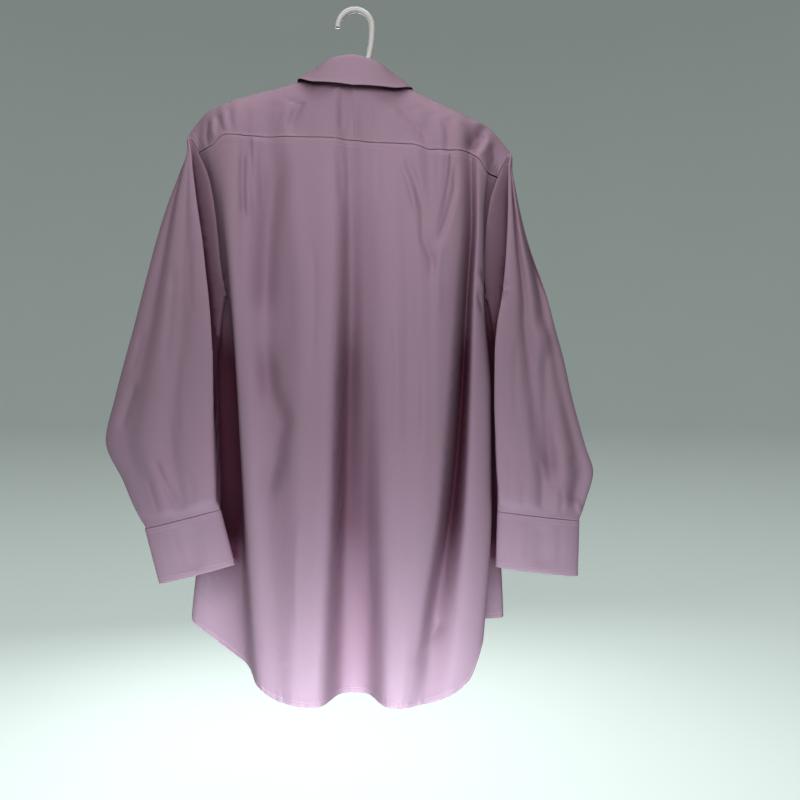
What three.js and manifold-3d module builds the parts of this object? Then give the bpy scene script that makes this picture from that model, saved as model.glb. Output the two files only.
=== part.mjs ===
// Long sleeve dress shirt hanging on a plastic tube hanger, in millimetres.
// +X is the wearer's left, the front faces -Y and +Z is up. The hook hangs at the origin.
import * as THREE from "three";
import Module from "manifold-3d";

const wasm = await Module();
wasm.setup();

// Cloth and seams
const CLOTH = 1.1;
const FIRM_CLOTH = 1.6;
const SEAM = 0.8;
const SLEEVE_SEAM = 1.6;

// Angles are in degrees.
const RADIAN = Math.PI / 180;

// Colours
const LILAC = 0xc9a9c6;
const WHITE_PLASTIC = 0xe8e6e2;
const BUTTON_COLOUR = 0xe6d9e2;

// Number helpers
const lerp = (a, b, t) => a + (b - a) * t;
const clamp01 = (t) => Math.min(1, Math.max(0, t));
const ease = (t) => {
  const c = clamp01(t);
  return c * c * (3 - 2 * c);
};
const bell = (t) => Math.exp(-t * t);

// Smooth value of a column at a place, in rows sorted by their first number.
function smoothColumn(rows, place, column) {
  const rising = rows[rows.length - 1][0] > rows[0][0];
  const inside = (a, b) => (rising ? place < b : place > b);
  const last = rows.length - 1;
  if (rising ? place <= rows[0][0] : place >= rows[0][0]) return rows[0][column];
  if (rising ? place >= rows[last][0] : place <= rows[last][0]) return rows[last][column];
  let i = 0;
  while (i < last - 1 && !inside(rows[i][0], rows[i + 1][0])) i += 1;
  const slope = (k) => (rows[k + 1][column] - rows[k][column]) / (rows[k + 1][0] - rows[k][0]);
  const tangent = (k) => {
    if (k === 0) return slope(0);
    if (k === last) return slope(last - 1);
    const before = slope(k - 1);
    const after = slope(k);
    return before * after <= 0 ? 0 : (2 * before * after) / (before + after);
  };
  const span = rows[i + 1][0] - rows[i][0];
  const t = (place - rows[i][0]) / span;
  const t2 = t * t;
  const t3 = t2 * t;
  return (
    (2 * t3 - 3 * t2 + 1) * rows[i][column] +
    (t3 - 2 * t2 + t) * span * tangent(i) +
    (3 * t2 - 2 * t3) * rows[i + 1][column] +
    (t3 - t2) * span * tangent(i + 1)
  );
}

// Point on a smooth curve through plan points [x, y], at index number u.
function curveThrough(points, u) {
  const last = points.length - 1;
  const i = Math.min(last - 1, Math.max(0, Math.floor(u)));
  const t = u - i;
  const step = (k) =>
    Math.sqrt(Math.hypot(points[k + 1][0] - points[k][0], points[k + 1][1] - points[k][1])) + 1e-6;
  const span = step(i);
  const tangent = (k, axis) => {
    if (k === 0) return (points[1][axis] - points[0][axis]) / step(0);
    if (k === last) return (points[last][axis] - points[last - 1][axis]) / step(last - 1);
    const before = step(k - 1);
    const after = step(k);
    const a = (points[k][axis] - points[k - 1][axis]) / before;
    const b = (points[k + 1][axis] - points[k][axis]) / after;
    return (a * after + b * before) / (before + after);
  };
  const t2 = t * t;
  const t3 = t2 * t;
  return [0, 1].map(
    (axis) =>
      (2 * t3 - 3 * t2 + 1) * points[i][axis] +
      (t3 - 2 * t2 + t) * span * tangent(i, axis) +
      (3 * t2 - 2 * t3) * points[i + 1][axis] +
      (t3 - t2) * span * tangent(i + 1, axis),
  );
}

// Closed wall from a grid of points: rows of equal length, thickened to both sides.
// joinFrom is the first row whose last column is the same line as its first column.
function wallFromGrid(grid, thickness, joinFrom = Infinity) {
  const rows = grid.length;
  const cols = grid[0].length;
  const joined = (i) => i >= joinFrom;
  const point = (i, j) => new THREE.Vector3(...grid[i][j]);
  const normals = grid.map((row, i) =>
    row.map((_, j) => {
      const wrap = joined(i) && (j === 0 || j === cols - 1);
      const left = wrap ? point(i, cols - 2) : point(i, Math.max(0, j - 1));
      const right = wrap ? point(i, 1) : point(i, Math.min(cols - 1, j + 1));
      const up = point(Math.max(0, i - 1), j);
      const down = point(Math.min(rows - 1, i + 1), j);
      return right.sub(left).cross(down.sub(up)).normalize();
    }),
  );
  const positions = [];
  const faces = [];
  const index = [[], []];
  for (let side = 0; side < 2; side += 1) {
    const shift = (side === 0 ? 0.5 : -0.5) * thickness;
    for (let i = 0; i < rows; i += 1) {
      index[side].push([]);
      for (let j = 0; j < cols; j += 1) {
        if (joined(i) && j === cols - 1) {
          index[side][i].push(index[side][i][0]);
          continue;
        }
        const p = point(i, j).addScaledVector(normals[i][j], shift);
        index[side][i].push(positions.length / 3);
        positions.push(p.x, p.y, p.z);
      }
    }
  }
  const quad = (a, b, c, d) => faces.push(a, b, c, a, c, d);
  const [front, back] = index;
  for (let i = 0; i + 1 < rows; i += 1) {
    for (let j = 0; j + 1 < cols; j += 1) {
      quad(front[i][j], front[i + 1][j], front[i + 1][j + 1], front[i][j + 1]);
      quad(back[i][j], back[i][j + 1], back[i + 1][j + 1], back[i + 1][j]);
    }
  }
  const rim = (i0, j0, i1, j1) => quad(front[i0][j0], front[i1][j1], back[i1][j1], back[i0][j0]);
  for (let j = 0; j + 1 < cols; j += 1) {
    rim(0, j, 0, j + 1);
    rim(rows - 1, j + 1, rows - 1, j);
  }
  for (let i = 0; i + 1 < rows; i += 1) {
    if (joined(i)) break;
    rim(i, cols - 1, i + 1, cols - 1);
    rim(i + 1, 0, i, 0);
  }
  return solidFrom(positions, faces);
}

// Geometry with its faces turned outwards.
function solidFrom(positions, faces) {
  let volume = 0;
  for (let f = 0; f < faces.length; f += 3) {
    const [a, b, c] = [0, 1, 2].map((k) => new THREE.Vector3().fromArray(positions, faces[f + k] * 3));
    volume += a.dot(b.cross(c));
  }
  const turned = [...faces];
  if (volume < 0) {
    for (let f = 0; f < turned.length; f += 3) {
      [turned[f + 1], turned[f + 2]] = [turned[f + 2], turned[f + 1]];
    }
  }
  const geometry = new THREE.BufferGeometry();
  geometry.setAttribute("position", new THREE.Float32BufferAttribute(positions, 3));
  geometry.setIndex(turned);
  geometry.computeVertexNormals();
  return geometry;
}

const range = (count, from, to) => Array.from({ length: count + 1 }, (_, k) => lerp(from, to, k / count));

// Shoulder line: [x, height of the cloth over the hanger's arm]
const SHOULDER_LINE = [
  [-204, -186],
  [-192, -171],
  [-183, -160],
  [-170, -147.5],
  [-156, -141.5],
  [-130, -129],
  [-103, -116.5],
  [-73, -102.5],
  [-57, -93],
  [-33, -68],
  [0, -30],
  [33, -65],
  [57, -88],
  [88, -97.5],
  [138, -110],
  [173, -122],
  [190, -129],
  [199, -138],
  [207, -147.5],
  [218, -163],
];
const shoulderHeight = (x) => smoothColumn(SHOULDER_LINE, x, 1);

// Yoke seam across the back: [x, height]
const YOKE_SEAM = [
  [-187, -219],
  [-170, -215],
  [-158, -200],
  [-145, -190],
  [-97, -188.5],
  [-74, -183],
  [-27, -181],
  [5, -176],
  [37, -174.5],
  [119, -171],
  [162, -169.5],
  [180, -182],
  [203, -187],
];
const yokeSeamHeight = (x) => smoothColumn(YOKE_SEAM, x, 1);

// Armhole seams from the shoulder tip to the underarm: [height, back x, back y, front x, front y]
const ARMHOLE_LEFT = [
  [-160, 216, 0, 216, 0],
  [-163, 214, 5, 214, -5],
  [-172, 208, 10, 209, -9],
  [-186, 200, 12, 202, -12],
  [-224, 185, 12, 184, -15],
  [-276, 177, 10, 173, -15],
  [-324, 173, 7, 168, -12],
  [-354, 169, 4, 166, -6],
  [-370, 166, 1, 166, 1],
];
const ARMHOLE_RIGHT = [
  [-183, -202, 0, -202, 0],
  [-186, -200.5, 5, -200.5, -5],
  [-196, -194.5, 10, -196, -9],
  [-217, -184, 11, -187, -12],
  [-246, -174.5, 10, -175, -15],
  [-290, -168.5, 8, -168, -15],
  [-335, -166.5, 6, -165, -11],
  [-360, -168, 3, -167, -5],
  [-374, -170, 0, -170, 0],
];
const armholeOf = (left) => (left ? ARMHOLE_LEFT : ARMHOLE_RIGHT);
const underarm = (left) => armholeOf(left)[8][0];
function armholePoint(left, z, isBack) {
  const rows = armholeOf(left);
  return [smoothColumn(rows, z, isBack ? 1 : 3), smoothColumn(rows, z, isBack ? 2 : 4)];
}

// Side seams under the arms: [height, left x, left y, right x, right y]
const SIDE_SEAM = [
  [-370, 166, 1, -170, 0],
  [-375, 170, -1.5, -170.5, -0.5],
  [-381, 173, -3, -174.5, -2.5],
  [-392, 177, -5.5, -178, -5],
  [-430, 185, -12, -184, -11],
  [-500, 190, -18, -186, -16],
  [-640, 201, -23, -189, -21],
  [-790, 218, -25, -196, -26],
  [-890, 224, -27, -199, -28],
];
function sidePoint(left, z, isBack) {
  if (z > underarm(left)) return armholePoint(left, z, isBack);
  return [smoothColumn(SIDE_SEAM, z, left ? 1 : 3), smoothColumn(SIDE_SEAM, z, left ? 2 : 4)];
}

// Back panel, a row per height: the plan points [x, y] of its main folds from left to right.
// foot, edge, hollow, ridge, trough, trough, ridge, hollow, deep fold, crest, rim, heel
const BACK_SECTIONS = [
  [-180, 184, 26, 160, 34, 104, 31, 25, 37, 6, 30, -12, 34, -38, 37, -134, 33, -148, 25, -157, 31, -171, 26, -177, 21],
  [-270, 169, 26, 157, 38, 106, 31, 23, 42, 4, 28, -13, 35, -40, 43, -133, 36, -150, 17, -157, 30, -164, 25, -166, 18],
  [-370, 161, 14, 151, 36, 110, 31, 25, 46, 4, 24, -15, 35, -42, 47, -126, 40, -145, 9, -153, 29, -165, 20, -164, 8],
  [-500, 155, -12, 144, 31, 104, 36, 29, 51, 6, 18, -15, 33, -44, 50, -116, 44, -138, 6, -150, 29, -175, 16, -166, -6],
  [-640, 152, -17, 135, 32, 98, 42, 32, 56, 9, 17, -15, 28, -44, 54, -103, 50, -126, 7, -144, 34, -175, 18, -166, -10],
  [-780, 150, -12, 124, 38, 96, 49, 38, 60, 13, 17, -15, 21, -44, 58, -81, 56, -103, 29, -132, 43, -166, 24, -158, -12],
  [-890, 142, -8, 114, 43, 88, 53, 43, 61, 15, 18, -15, 18, -42, 60, -66, 59, -88, 51, -122, 47, -156, 24, -150, -12],
];
const BACK_POINTS = 12;
// Back points are the side seam, the lip beside it, the main folds, the other lip and the other seam.
const BACK_LAST = BACK_POINTS + 3;
// Mesh columns between neighbouring back points
const BACK_COLUMNS = [1, 2, 3, 4, 5, 2, 2, 2, 4, 4, 2, 2, 2, 2, 1];
// Hem of the back: [index along the back points, height]
const BACK_HEM = [
  [0, -790],
  [1, -797],
  [2, -846],
  [3, -864],
  [4, -876],
  [5, -880],
  [6, -878],
  [7, -878],
  [8, -880],
  [9, -881],
  [10, -880],
  [11, -869],
  [11.5, -855],
  [12, -812],
  [12.5, -796],
  [13, -793],
  [15, -791],
];

// Softer folds of the back:
// [x at the top, x in the middle, x at the hem, half width, depth top, middle, hem]
const BACK_FOLDS = [
  [136, 141, 128, 7, -3, -1, 0],
  [110, 112, 104, 16, -3, -6, 0],
  [84, 66, 74, 14, 2, 3, 3],
  [-62, -70, -62, 9, -1, -3, 2],
  [-96, -98, -100, 10, -5, -1, 0],
  [-120, -104, -112, 7, -4, 1, 0],
];
const FOLD_TOP = -180;
const FOLD_MIDDLE = -420;
const FOLD_END = -880;
function foldAmount(folds, x, z) {
  const part =
    z > FOLD_MIDDLE
      ? clamp01((FOLD_TOP - z) / (FOLD_TOP - FOLD_MIDDLE)) * 0.5
      : 0.5 + 0.5 * clamp01((FOLD_MIDDLE - z) / (FOLD_MIDDLE - FOLD_END));
  let sum = 0;
  for (const [xTop, xMid, xEnd, half, top, mid, end] of folds) {
    const centre = smoothColumn([[0, xTop], [0.5, xMid], [1, xEnd]], part, 1);
    const depth = smoothColumn([[0, top], [0.5, mid], [1, end]], part, 1);
    sum += depth * bell((x - centre) / half);
  }
  return sum;
}

// Small pleats under the yoke: [x at the yoke, x at the end, height of the end, depth]
const PLEATS = [
  [126, 122, -275, 2.8],
  [-120, -94, -309, 4.5],
];
const PLEAT_RUN = 14;
const PLEAT_STEP = 3;
const PLEAT_START = 9;
function pleatAmount(x, z) {
  let sum = 0;
  for (const [xTop, xEnd, zEnd, depth] of PLEATS) {
    const part = clamp01((FOLD_TOP - z) / (FOLD_TOP - zEnd));
    const line = lerp(xTop, xEnd, part ** 2);
    const run = Math.abs(x) < Math.abs(line) ? PLEAT_RUN : PLEAT_STEP;
    sum += depth * (1 - part) * bell((x - line) / run);
  }
  return sum * ease((yokeSeamHeight(x) - z) / PLEAT_START);
}

// Rounded lip beside a side seam, which fades into the armhole above.
const LIP_IN = 2.5;
const LIP_OUT = 4.5;
const LIP_RUN = 60;
const LIP_SHARE = 0.2;
function lipPoint(left, z, seam, next, isBack) {
  const rounded = ease((underarm(left) - z) / LIP_RUN);
  const lip = [seam[0] + (left ? -LIP_IN : LIP_IN), seam[1] + (isBack ? LIP_OUT : -LIP_OUT)];
  return [0, 1].map((axis) => lerp(lerp(seam[axis], next[axis], LIP_SHARE), lip[axis], rounded));
}
function withLips(points, z, isBack) {
  const [leftSeam, rightSeam] = [sidePoint(true, z, isBack), sidePoint(false, z, isBack)];
  return [
    leftSeam,
    lipPoint(true, z, leftSeam, points[0], isBack),
    ...points,
    lipPoint(false, z, rightSeam, points[points.length - 1], isBack),
    rightSeam,
  ];
}
function sectionPoints(rows, count, z) {
  return Array.from({ length: count }, (_, k) => [
    smoothColumn(rows, z, 1 + 2 * k),
    smoothColumn(rows, z, 2 + 2 * k),
  ]);
}
function backPoint(u, z) {
  const points = withLips(sectionPoints(BACK_SECTIONS, BACK_POINTS, z), z, true);
  const [x, y] = curveThrough(points, u);
  const inner = ease(u - 1) * ease(BACK_LAST - 1 - u);
  return [x, y + inner * (foldAmount(BACK_FOLDS, x, z) + pleatAmount(x, z)), z];
}

// Height of the yoke seam over a place along the back, found in a few turns
const SETTLE_TURNS = 6;
function backTop(u) {
  let z = FOLD_TOP;
  for (let turn = 0; turn < SETTLE_TURNS; turn += 1) z = yokeSeamHeight(backPoint(u, z)[0]);
  return z;
}

// Depth of the back at a place on the yoke seam
const SEAM_STEPS = 240;
const yokeSeamPoints = range(SEAM_STEPS, 0, BACK_LAST).map((u) => backPoint(u, backTop(u)));
function yokeSeamDepth(x) {
  for (let k = 0; k < SEAM_STEPS; k += 1) {
    const [a, b] = [yokeSeamPoints[k], yokeSeamPoints[k + 1]];
    if (x <= a[0] && x >= b[0]) return lerp(a[1], b[1], (a[0] - x) / (a[0] - b[0] + 1e-9));
  }
  return x > 0 ? yokeSeamPoints[0][1] : yokeSeamPoints[SEAM_STEPS][1];
}

// Front of the body, a row per height: plan points [x, y] side, chest, centre, chest, side
const FRONT_SECTIONS = [
  [-180, 186, -20, 92, -27, 2, -30, -90, -27, -174, -20],
  [-270, 160, -23, 92, -30, 2, -33, -90, -30, -154, -23],
  [-370, 160, -19, 94, -31, 2, -35, -92, -31, -163, -19],
  [-500, 168, -26, 96, -33, 2, -37, -94, -33, -170, -26],
  [-640, 183, -30, 99, -34, 2, -38, -98, -34, -177, -30],
  [-780, 199, -33, 104, -36, 2, -39, -102, -36, -184, -33],
  [-890, 204, -34, 106, -37, 2, -40, -104, -37, -187, -34],
];
const FRONT_POINTS = 5;
const FRONT_FOLDS = [
  [140, 128, 132, 14, 0, -7, -9],
  [104, 96, 88, 13, 2, 5, 7],
  [62, 60, 52, 15, -1, -5, -8],
  [-58, -52, -56, 13, 1, -5, -7],
  [-84, -96, -90, 14, -1, 6, 7],
  [-132, -126, -134, 14, 0, -7, -9],
];
const FRONT_LAST = FRONT_POINTS + 3;
// Hem of the fronts: [index along the front points, height]
const FRONT_HEM = [
  [0, -790],
  [1, -791],
  [2, -800],
  [3, -846],
  [4, -857],
  [5, -846],
  [6, -790],
  [8, -791],
];

// Neck seam: an oval round the neck, 90 degrees at the back
const NECK_CENTRE_Y = -8;
const NECK_HALF_WIDTH = 67;
const NECK_HALF_DEPTH = 50;
const TILT = 0.057;
// [angle, height before the tilt]
const NECK_SEAM = [
  [-90, -160],
  [-60, -144],
  [-30, -112],
  [-8, -95.5],
  [10, -94.5],
  [35, -97.5],
  [60, -103],
  [90, -107],
];
function neckPoint(angle) {
  const folded = angle > 90 ? 180 - angle : angle;
  const x = NECK_HALF_WIDTH * Math.cos(angle * RADIAN);
  const y = NECK_CENTRE_Y + NECK_HALF_DEPTH * Math.sin(angle * RADIAN);
  return [x, y, smoothColumn(NECK_SEAM, folded, 1) + TILT * x];
}

// The shoulder in profile: a quarter ellipse on each side of the shoulder line.
const FRONT_ROUND = 110;
const YOKE_FRONT_ANGLE = -45;
// Depth of the yoke's front, in rows by distance from the middle: [distance, depth]
const FRONT_DEPTH = [
  [0, 27],
  [150, 26],
  [206, 12],
];
const frontDepthAt = (x) => smoothColumn(FRONT_DEPTH, Math.abs(x), 1);
function profilePoint(x, angle) {
  const top = shoulderHeight(x);
  const sine = Math.sin(Math.abs(angle) * RADIAN);
  const cosine = Math.cos(angle * RADIAN);
  if (angle >= 0) {
    const seam = yokeSeamHeight(x);
    return [x, yokeSeamDepth(x) * sine, seam + (top - seam) * cosine];
  }
  return [x, -frontDepthAt(x) * sine, top - FRONT_ROUND * (1 - cosine)];
}

// Yoke creases that hang from the hanger's ends and the neck:
// [x at the top, x at the seam, half width, depth]
const YOKE_FOLDS = [
  [187, 188, 5, -4],
  [178, 168, 5, -3.5],
  [163, 153, 5, -3],
  [58, 82, 7, -5],
  [14, 16, 4, -1.5],
  [-51, -92, 7, -5],
  [-170, -147, 8, -12],
  [-176, -182, 4, -3],
];
// The inner edge of a yoke half runs up the centre back, round the neck and over the shoulder's ridge.
const NECK_RIDGE_ANGLE = 9.2;
const NECK_FRONT_ANGLE = -14;
const NECK_START = 0.3;
const NECK_START_ANGLE = 56;
const RIDGE = 2 / 3;
const FRONT_TURN = 8;
function yokeInnerEdge(left, along) {
  if (along < NECK_START) {
    const part = along / NECK_START;
    const angle = lerp(90, NECK_START_ANGLE, part);
    const [, neckY, neckZ] = neckPoint(90);
    const depth = lerp(profilePoint(0, angle)[1], neckY, ease(part));
    return { angle, point: [0, depth, lerp(yokeSeamHeight(0), neckZ, part)] };
  }
  const toRidge = (along - NECK_START) / (RIDGE - NECK_START);
  const past = (along - RIDGE) / (1 - RIDGE);
  const isPast = along > RIDGE;
  const neckAngle = isPast
    ? lerp(NECK_RIDGE_ANGLE, NECK_FRONT_ANGLE, past)
    : lerp(90, NECK_RIDGE_ANGLE, toRidge);
  const angle = isPast ? lerp(0, YOKE_FRONT_ANGLE + FRONT_TURN, past) : lerp(NECK_START_ANGLE, 0, toRidge);
  const [neckX, neckY] = neckPoint(neckAngle);
  const x = left ? neckX : -neckX;
  return { angle, point: [x, neckY, smoothColumn(NECK_SEAM, neckAngle, 1) + TILT * x] };
}

// The outer edge of a yoke half follows the armhole seam over the shoulder tip.
const YOKE_FRONT_DROP = 28;
function yokeOuterEdge(left, angle) {
  const rows = armholeOf(left);
  const [tip, corner] = [rows[0][0], rows[3][0]];
  const behind = lerp(corner, tip, Math.cos(angle * RADIAN));
  const before = lerp(tip, tip - YOKE_FRONT_DROP, ease(angle / YOKE_FRONT_ANGLE));
  const z = angle >= 0 ? behind : before;
  return [...armholePoint(left, z, angle >= 0), z];
}

// A yoke half. across runs from the centre back to the armhole,
// and along from the back seam over the shoulder to the front.
const CREASE_REACH = 0.55;
const CREASE_DEPTH = 22;
const CREASE_END = 12;
const CREASE_START = 6;
function yokePoint(left, across, along) {
  const inner = yokeInnerEdge(left, along);
  const outerAngle = lerp(90, YOKE_FRONT_ANGLE, along);
  const edge = yokeOuterEdge(left, outerAngle);
  const x = lerp(inner.point[0], edge[0], across);
  const base = profilePoint(x, lerp(inner.angle, outerAngle, across));
  const start = profilePoint(inner.point[0], inner.angle);
  const end = profilePoint(edge[0], outerAngle);
  const inPull = (1 - across) ** 3;
  const outPull = across ** 5;
  const point = [0, 1, 2].map(
    (k) => base[k] + inPull * (inner.point[k] - start[k]) + outPull * (edge[k] - end[k]),
  );
  const part = clamp01(along / CREASE_REACH);
  const ends = ease((1 - across) * CREASE_END) * ease(along * CREASE_START);
  const fade = clamp01(point[1] / CREASE_DEPTH) * ends;
  for (const [xTop, xSeam, half, depth] of YOKE_FOLDS) {
    point[1] += fade * depth * bell((point[0] - lerp(xSeam, xTop, part)) / half);
  }
  return point;
}

// Front neckline and shoulder seam over a place on the front
const NECK_MARGIN = 2.5;
function frontTop(x) {
  const side = Math.abs(x);
  if (side >= NECK_HALF_WIDTH - NECK_MARGIN) return yokeFrontEdge(x > 0, side);
  const angle = -Math.acos(side / NECK_HALF_WIDTH) / RADIAN;
  return neckPoint(x > 0 ? angle : 180 - angle);
}

// Front edge of the yoke at a distance from the middle
const EDGE_STEPS = 60;
const yokeFrontEdges = [false, true].map((left) =>
  range(EDGE_STEPS, 0, 1).map((across) => yokePoint(left, across, 1)),
);
function yokeFrontEdge(left, side) {
  const line = yokeFrontEdges[left ? 1 : 0];
  for (let k = 0; k < EDGE_STEPS; k += 1) {
    const [a, b] = [line[k], line[k + 1]];
    if (side >= Math.abs(a[0]) && side <= Math.abs(b[0])) {
      const t = (side - Math.abs(a[0])) / (Math.abs(b[0]) - Math.abs(a[0]) + 1e-9);
      return [0, 1, 2].map((i) => lerp(a[i], b[i], t));
    }
  }
  return side < Math.abs(line[0][0]) ? line[0] : line[EDGE_STEPS];
}

const frontPoints = (z) => withLips(sectionPoints(FRONT_SECTIONS, FRONT_POINTS, z), z, false);
const FRONT_SETTLE = 190;
const FRONT_GAP = 1.7;
const FRONT_TURNS = 8;
function frontPoint(u, along) {
  let top = [0, 0, FOLD_TOP];
  for (let turn = 0; turn < FRONT_TURNS; turn += 1) top = frontTop(curveThrough(frontPoints(top[2]), u)[0]);
  const z = lerp(top[2] - FRONT_GAP, smoothColumn(FRONT_HEM, u, 1), along);
  const [x, y] = curveThrough(frontPoints(z), u);
  const inner = ease(u - 1) * ease(FRONT_LAST - 1 - u);
  const flat = y + inner * foldAmount(FRONT_FOLDS, x, z);
  const flatTop = curveThrough(frontPoints(top[2]), u)[1];
  const pull = (1 - clamp01((top[2] - z) / FRONT_SETTLE)) ** 2;
  return [x, flat + pull * (top[1] - flatTop), z];
}

// Columns of a panel: index numbers with a number of mesh columns in each interval
function columnPlaces(counts) {
  const places = [0];
  counts.forEach((count, k) => {
    for (let step = 1; step <= count; step += 1) places.push(k + step / count);
  });
  return places;
}

// Moves the ends of a row of points together a little, to leave the seam's gap.
function trimEnds(row, first, last) {
  const pull = (a, b, gap) => {
    const length = Math.hypot(b[0] - a[0], b[1] - a[1], b[2] - a[2]);
    return a.map((value, k) => value + ((b[k] - value) * gap) / length);
  };
  const n = row.length - 1;
  const trimmed = row.map((p) => [...p]);
  if (first > 0) trimmed[0] = pull(row[0], row[1], first);
  if (last > 0) trimmed[n] = pull(row[n], row[n - 1], last);
  return trimmed;
}

const BACK_GAP = 0.8;
// Rows from the yoke seam to the hem, with one at the end of each armhole
const LEFT_UNDERARM_ROW = 0.3037;
const RIGHT_UNDERARM_ROW = 0.2735;
const BACK_ROWS = [...range(5, 0, RIGHT_UNDERARM_ROW), LEFT_UNDERARM_ROW, ...range(13, 0.325, 1)];
function backPanel() {
  const places = columnPlaces(BACK_COLUMNS);
  const columns = places.map((u) => ({ u, top: backTop(u) - BACK_GAP, hem: smoothColumn(BACK_HEM, u, 1) }));
  const grid = BACK_ROWS.map((v) =>
    trimEnds(columns.map(({ u, top, hem }) => backPoint(u, lerp(top, hem, v))), SEAM, SEAM),
  );
  return wallFromGrid(grid, CLOTH);
}

const YOKE_ACROSS = 17;
const YOKE_ALONG = 12;
const YOKE_LIFT = 0.5;
const YOKE_CROWD = 1.15;
function yokeHalf(left) {
  const places = range(YOKE_ACROSS, 0, 1).map((across) => 1 - (1 - across) ** YOKE_CROWD);
  const grid = range(YOKE_ALONG, 0, 1).map((along) => {
    const row = places.map((across) => yokePoint(left, across, along));
    const lift = YOKE_LIFT * (1 - ease(along * 4));
    return trimEnds(row, SEAM / 2, SEAM).map(([x, y, z]) => [x, y, z + lift]);
  });
  return wallFromGrid(grid, CLOTH);
}

// Fronts. The left front carries the button strip, which laps over the right front.
const STRIP_WIDTH = 34;
const FRONT_CENTRE_INDEX = 4;
const CHEST_SPAN = 92;
const stripIndex = (offset) => FRONT_CENTRE_INDEX - offset / CHEST_SPAN;
// The right front steps back under the strip.
const UNDER_STRIP = 2.6;
const UNDER_REACH = 8;
const UNDER_RUN = 0.09;
const FRONT_ROWS = 15;
const FRONT_COLUMNS = 12;
function frontGrid(from, to, columns, shift) {
  return range(FRONT_ROWS, 0, 1).map((along) =>
    range(columns, from, to).map((u) => {
      const p = frontPoint(u, along);
      return [p[0], p[1] + shift(u), p[2]];
    }),
  );
}
function frontLeft() {
  const grid = frontGrid(0, stripIndex(STRIP_WIDTH / 2 + 0.5), FRONT_COLUMNS, () => 0);
  return wallFromGrid(grid.map((row) => trimEnds(row, SEAM, 0)), CLOTH);
}
function frontRight() {
  const stepEnd = stripIndex(-STRIP_WIDTH / 2 - UNDER_REACH) + UNDER_RUN * 0.4;
  const under = (u) => UNDER_STRIP * ease((stepEnd - u) / UNDER_RUN);
  const grid = frontGrid(stripIndex(STRIP_WIDTH / 2 - 2), FRONT_LAST, FRONT_COLUMNS + 3, under);
  return wallFromGrid(grid.map((row) => trimEnds(row, 0, SEAM)), CLOTH);
}
function frontPlacket() {
  const grid = frontGrid(stripIndex(STRIP_WIDTH / 2), stripIndex(-STRIP_WIDTH / 2), 3, () => 0);
  return wallFromGrid(grid, CLOTH);
}

// Collar stand: a band around the neck seam, lapped at the front.
const STAND_HEIGHTS = [
  [-90, 27],
  [-30, 20],
  [0, 12],
  [35, 13],
  [60, 22],
  [90, 30],
];
const STAND_LEAN = 4;
const SIDE_LEAN = 15;
const STAND_LIFT = 1.8;
const SIDE_LEAN_REACH = 60;
const standLean = (folded) => STAND_LEAN + SIDE_LEAN * bell(folded / SIDE_LEAN_REACH);
function standPoint(angle, part) {
  const folded = angle > 90 ? 180 - angle : angle;
  const base = neckPoint(angle);
  const height = smoothColumn(STAND_HEIGHTS, folded, 1);
  const inward = standLean(folded) * part;
  return [
    base[0] - inward * Math.cos(angle * RADIAN),
    base[1] - inward * 0.7 * Math.sin(angle * RADIAN),
    base[2] + STAND_LIFT + height * part,
  ];
}
const STAND_COLUMNS = 36;
const STAND_ROWS = 3;
const STAND_START = -78;
const STAND_END = 266;
function collarStand() {
  const grid = range(STAND_ROWS, 0, 1).map((part) =>
    range(STAND_COLUMNS, STAND_START, STAND_END).map((angle) => standPoint(angle, part)),
  );
  return wallFromGrid(grid, FIRM_CLOTH);
}

// Collar fall: from the fold at the top of the stand down and outwards.
const FALL_TILT = 0.078;
const FALL_CLOTH = 1.3;
const COLLAR_TIP = -76;
const POINTED_PART = -62;
// [angle, edge distance outwards, edge height before the tilt]
const FALL_EDGE = [
  [-88, 4, -196],
  [-76, 10, -206],
  [-62, 12, -188],
  [-40, 12, -142],
  [-15, 12, -104],
  [5, 8, -93],
  [25, 9, -99],
  [50, 9, -109],
  [90, 9, -114.5],
];
// The fall rolls over the top of the stand: [part, distance outwards, height]
const ROLL_END = 0.24;
const ROLL = [
  [0, -0.6, 2.3],
  [0.12, 2.6, 3.1],
  [ROLL_END, 4.6, 0.6],
];

// Straight runs on both sides of the collar's points, and a smooth edge elsewhere
function fallEdge(angle, column) {
  if (angle >= POINTED_PART) return smoothColumn(FALL_EDGE, angle, column);
  const next = FALL_EDGE.findIndex((row) => row[0] >= angle);
  const [a, b] = [FALL_EDGE[Math.max(0, next - 1)], FALL_EDGE[Math.max(1, next)]];
  return lerp(a[column], b[column], (angle - a[0]) / (b[0] - a[0]));
}
function fallPoint(angle, part) {
  const folded = angle > 90 ? 180 - angle : angle;
  const top = standPoint(angle, 1);
  const out = [Math.cos(angle * RADIAN), Math.sin(angle * RADIAN)];
  const edgeOut = fallEdge(folded, 1) + standLean(folded);
  const edgeZ = fallEdge(folded, 2) + FALL_TILT * (top[0] + out[0] * edgeOut);
  if (part <= ROLL_END) {
    const away = smoothColumn(ROLL, part, 1);
    return [top[0] + out[0] * away, top[1] + out[1] * away, top[2] + smoothColumn(ROLL, part, 2)];
  }
  const [, rollOut, rollUp] = ROLL[2];
  const t = (part - ROLL_END) / (1 - ROLL_END);
  const away = lerp(rollOut, edgeOut, t ** 0.8);
  return [top[0] + out[0] * away, top[1] + out[1] * away, lerp(top[2] + rollUp, edgeZ, t)];
}
const FALL_COLUMNS = 36;
const TIP_COLUMNS = 2;
const FALL_PARTS = [0, 0.12, ROLL_END, 0.43, 0.62, 0.81, 1];
const FALL_START = -86;
const FALL_END = 266;
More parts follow.
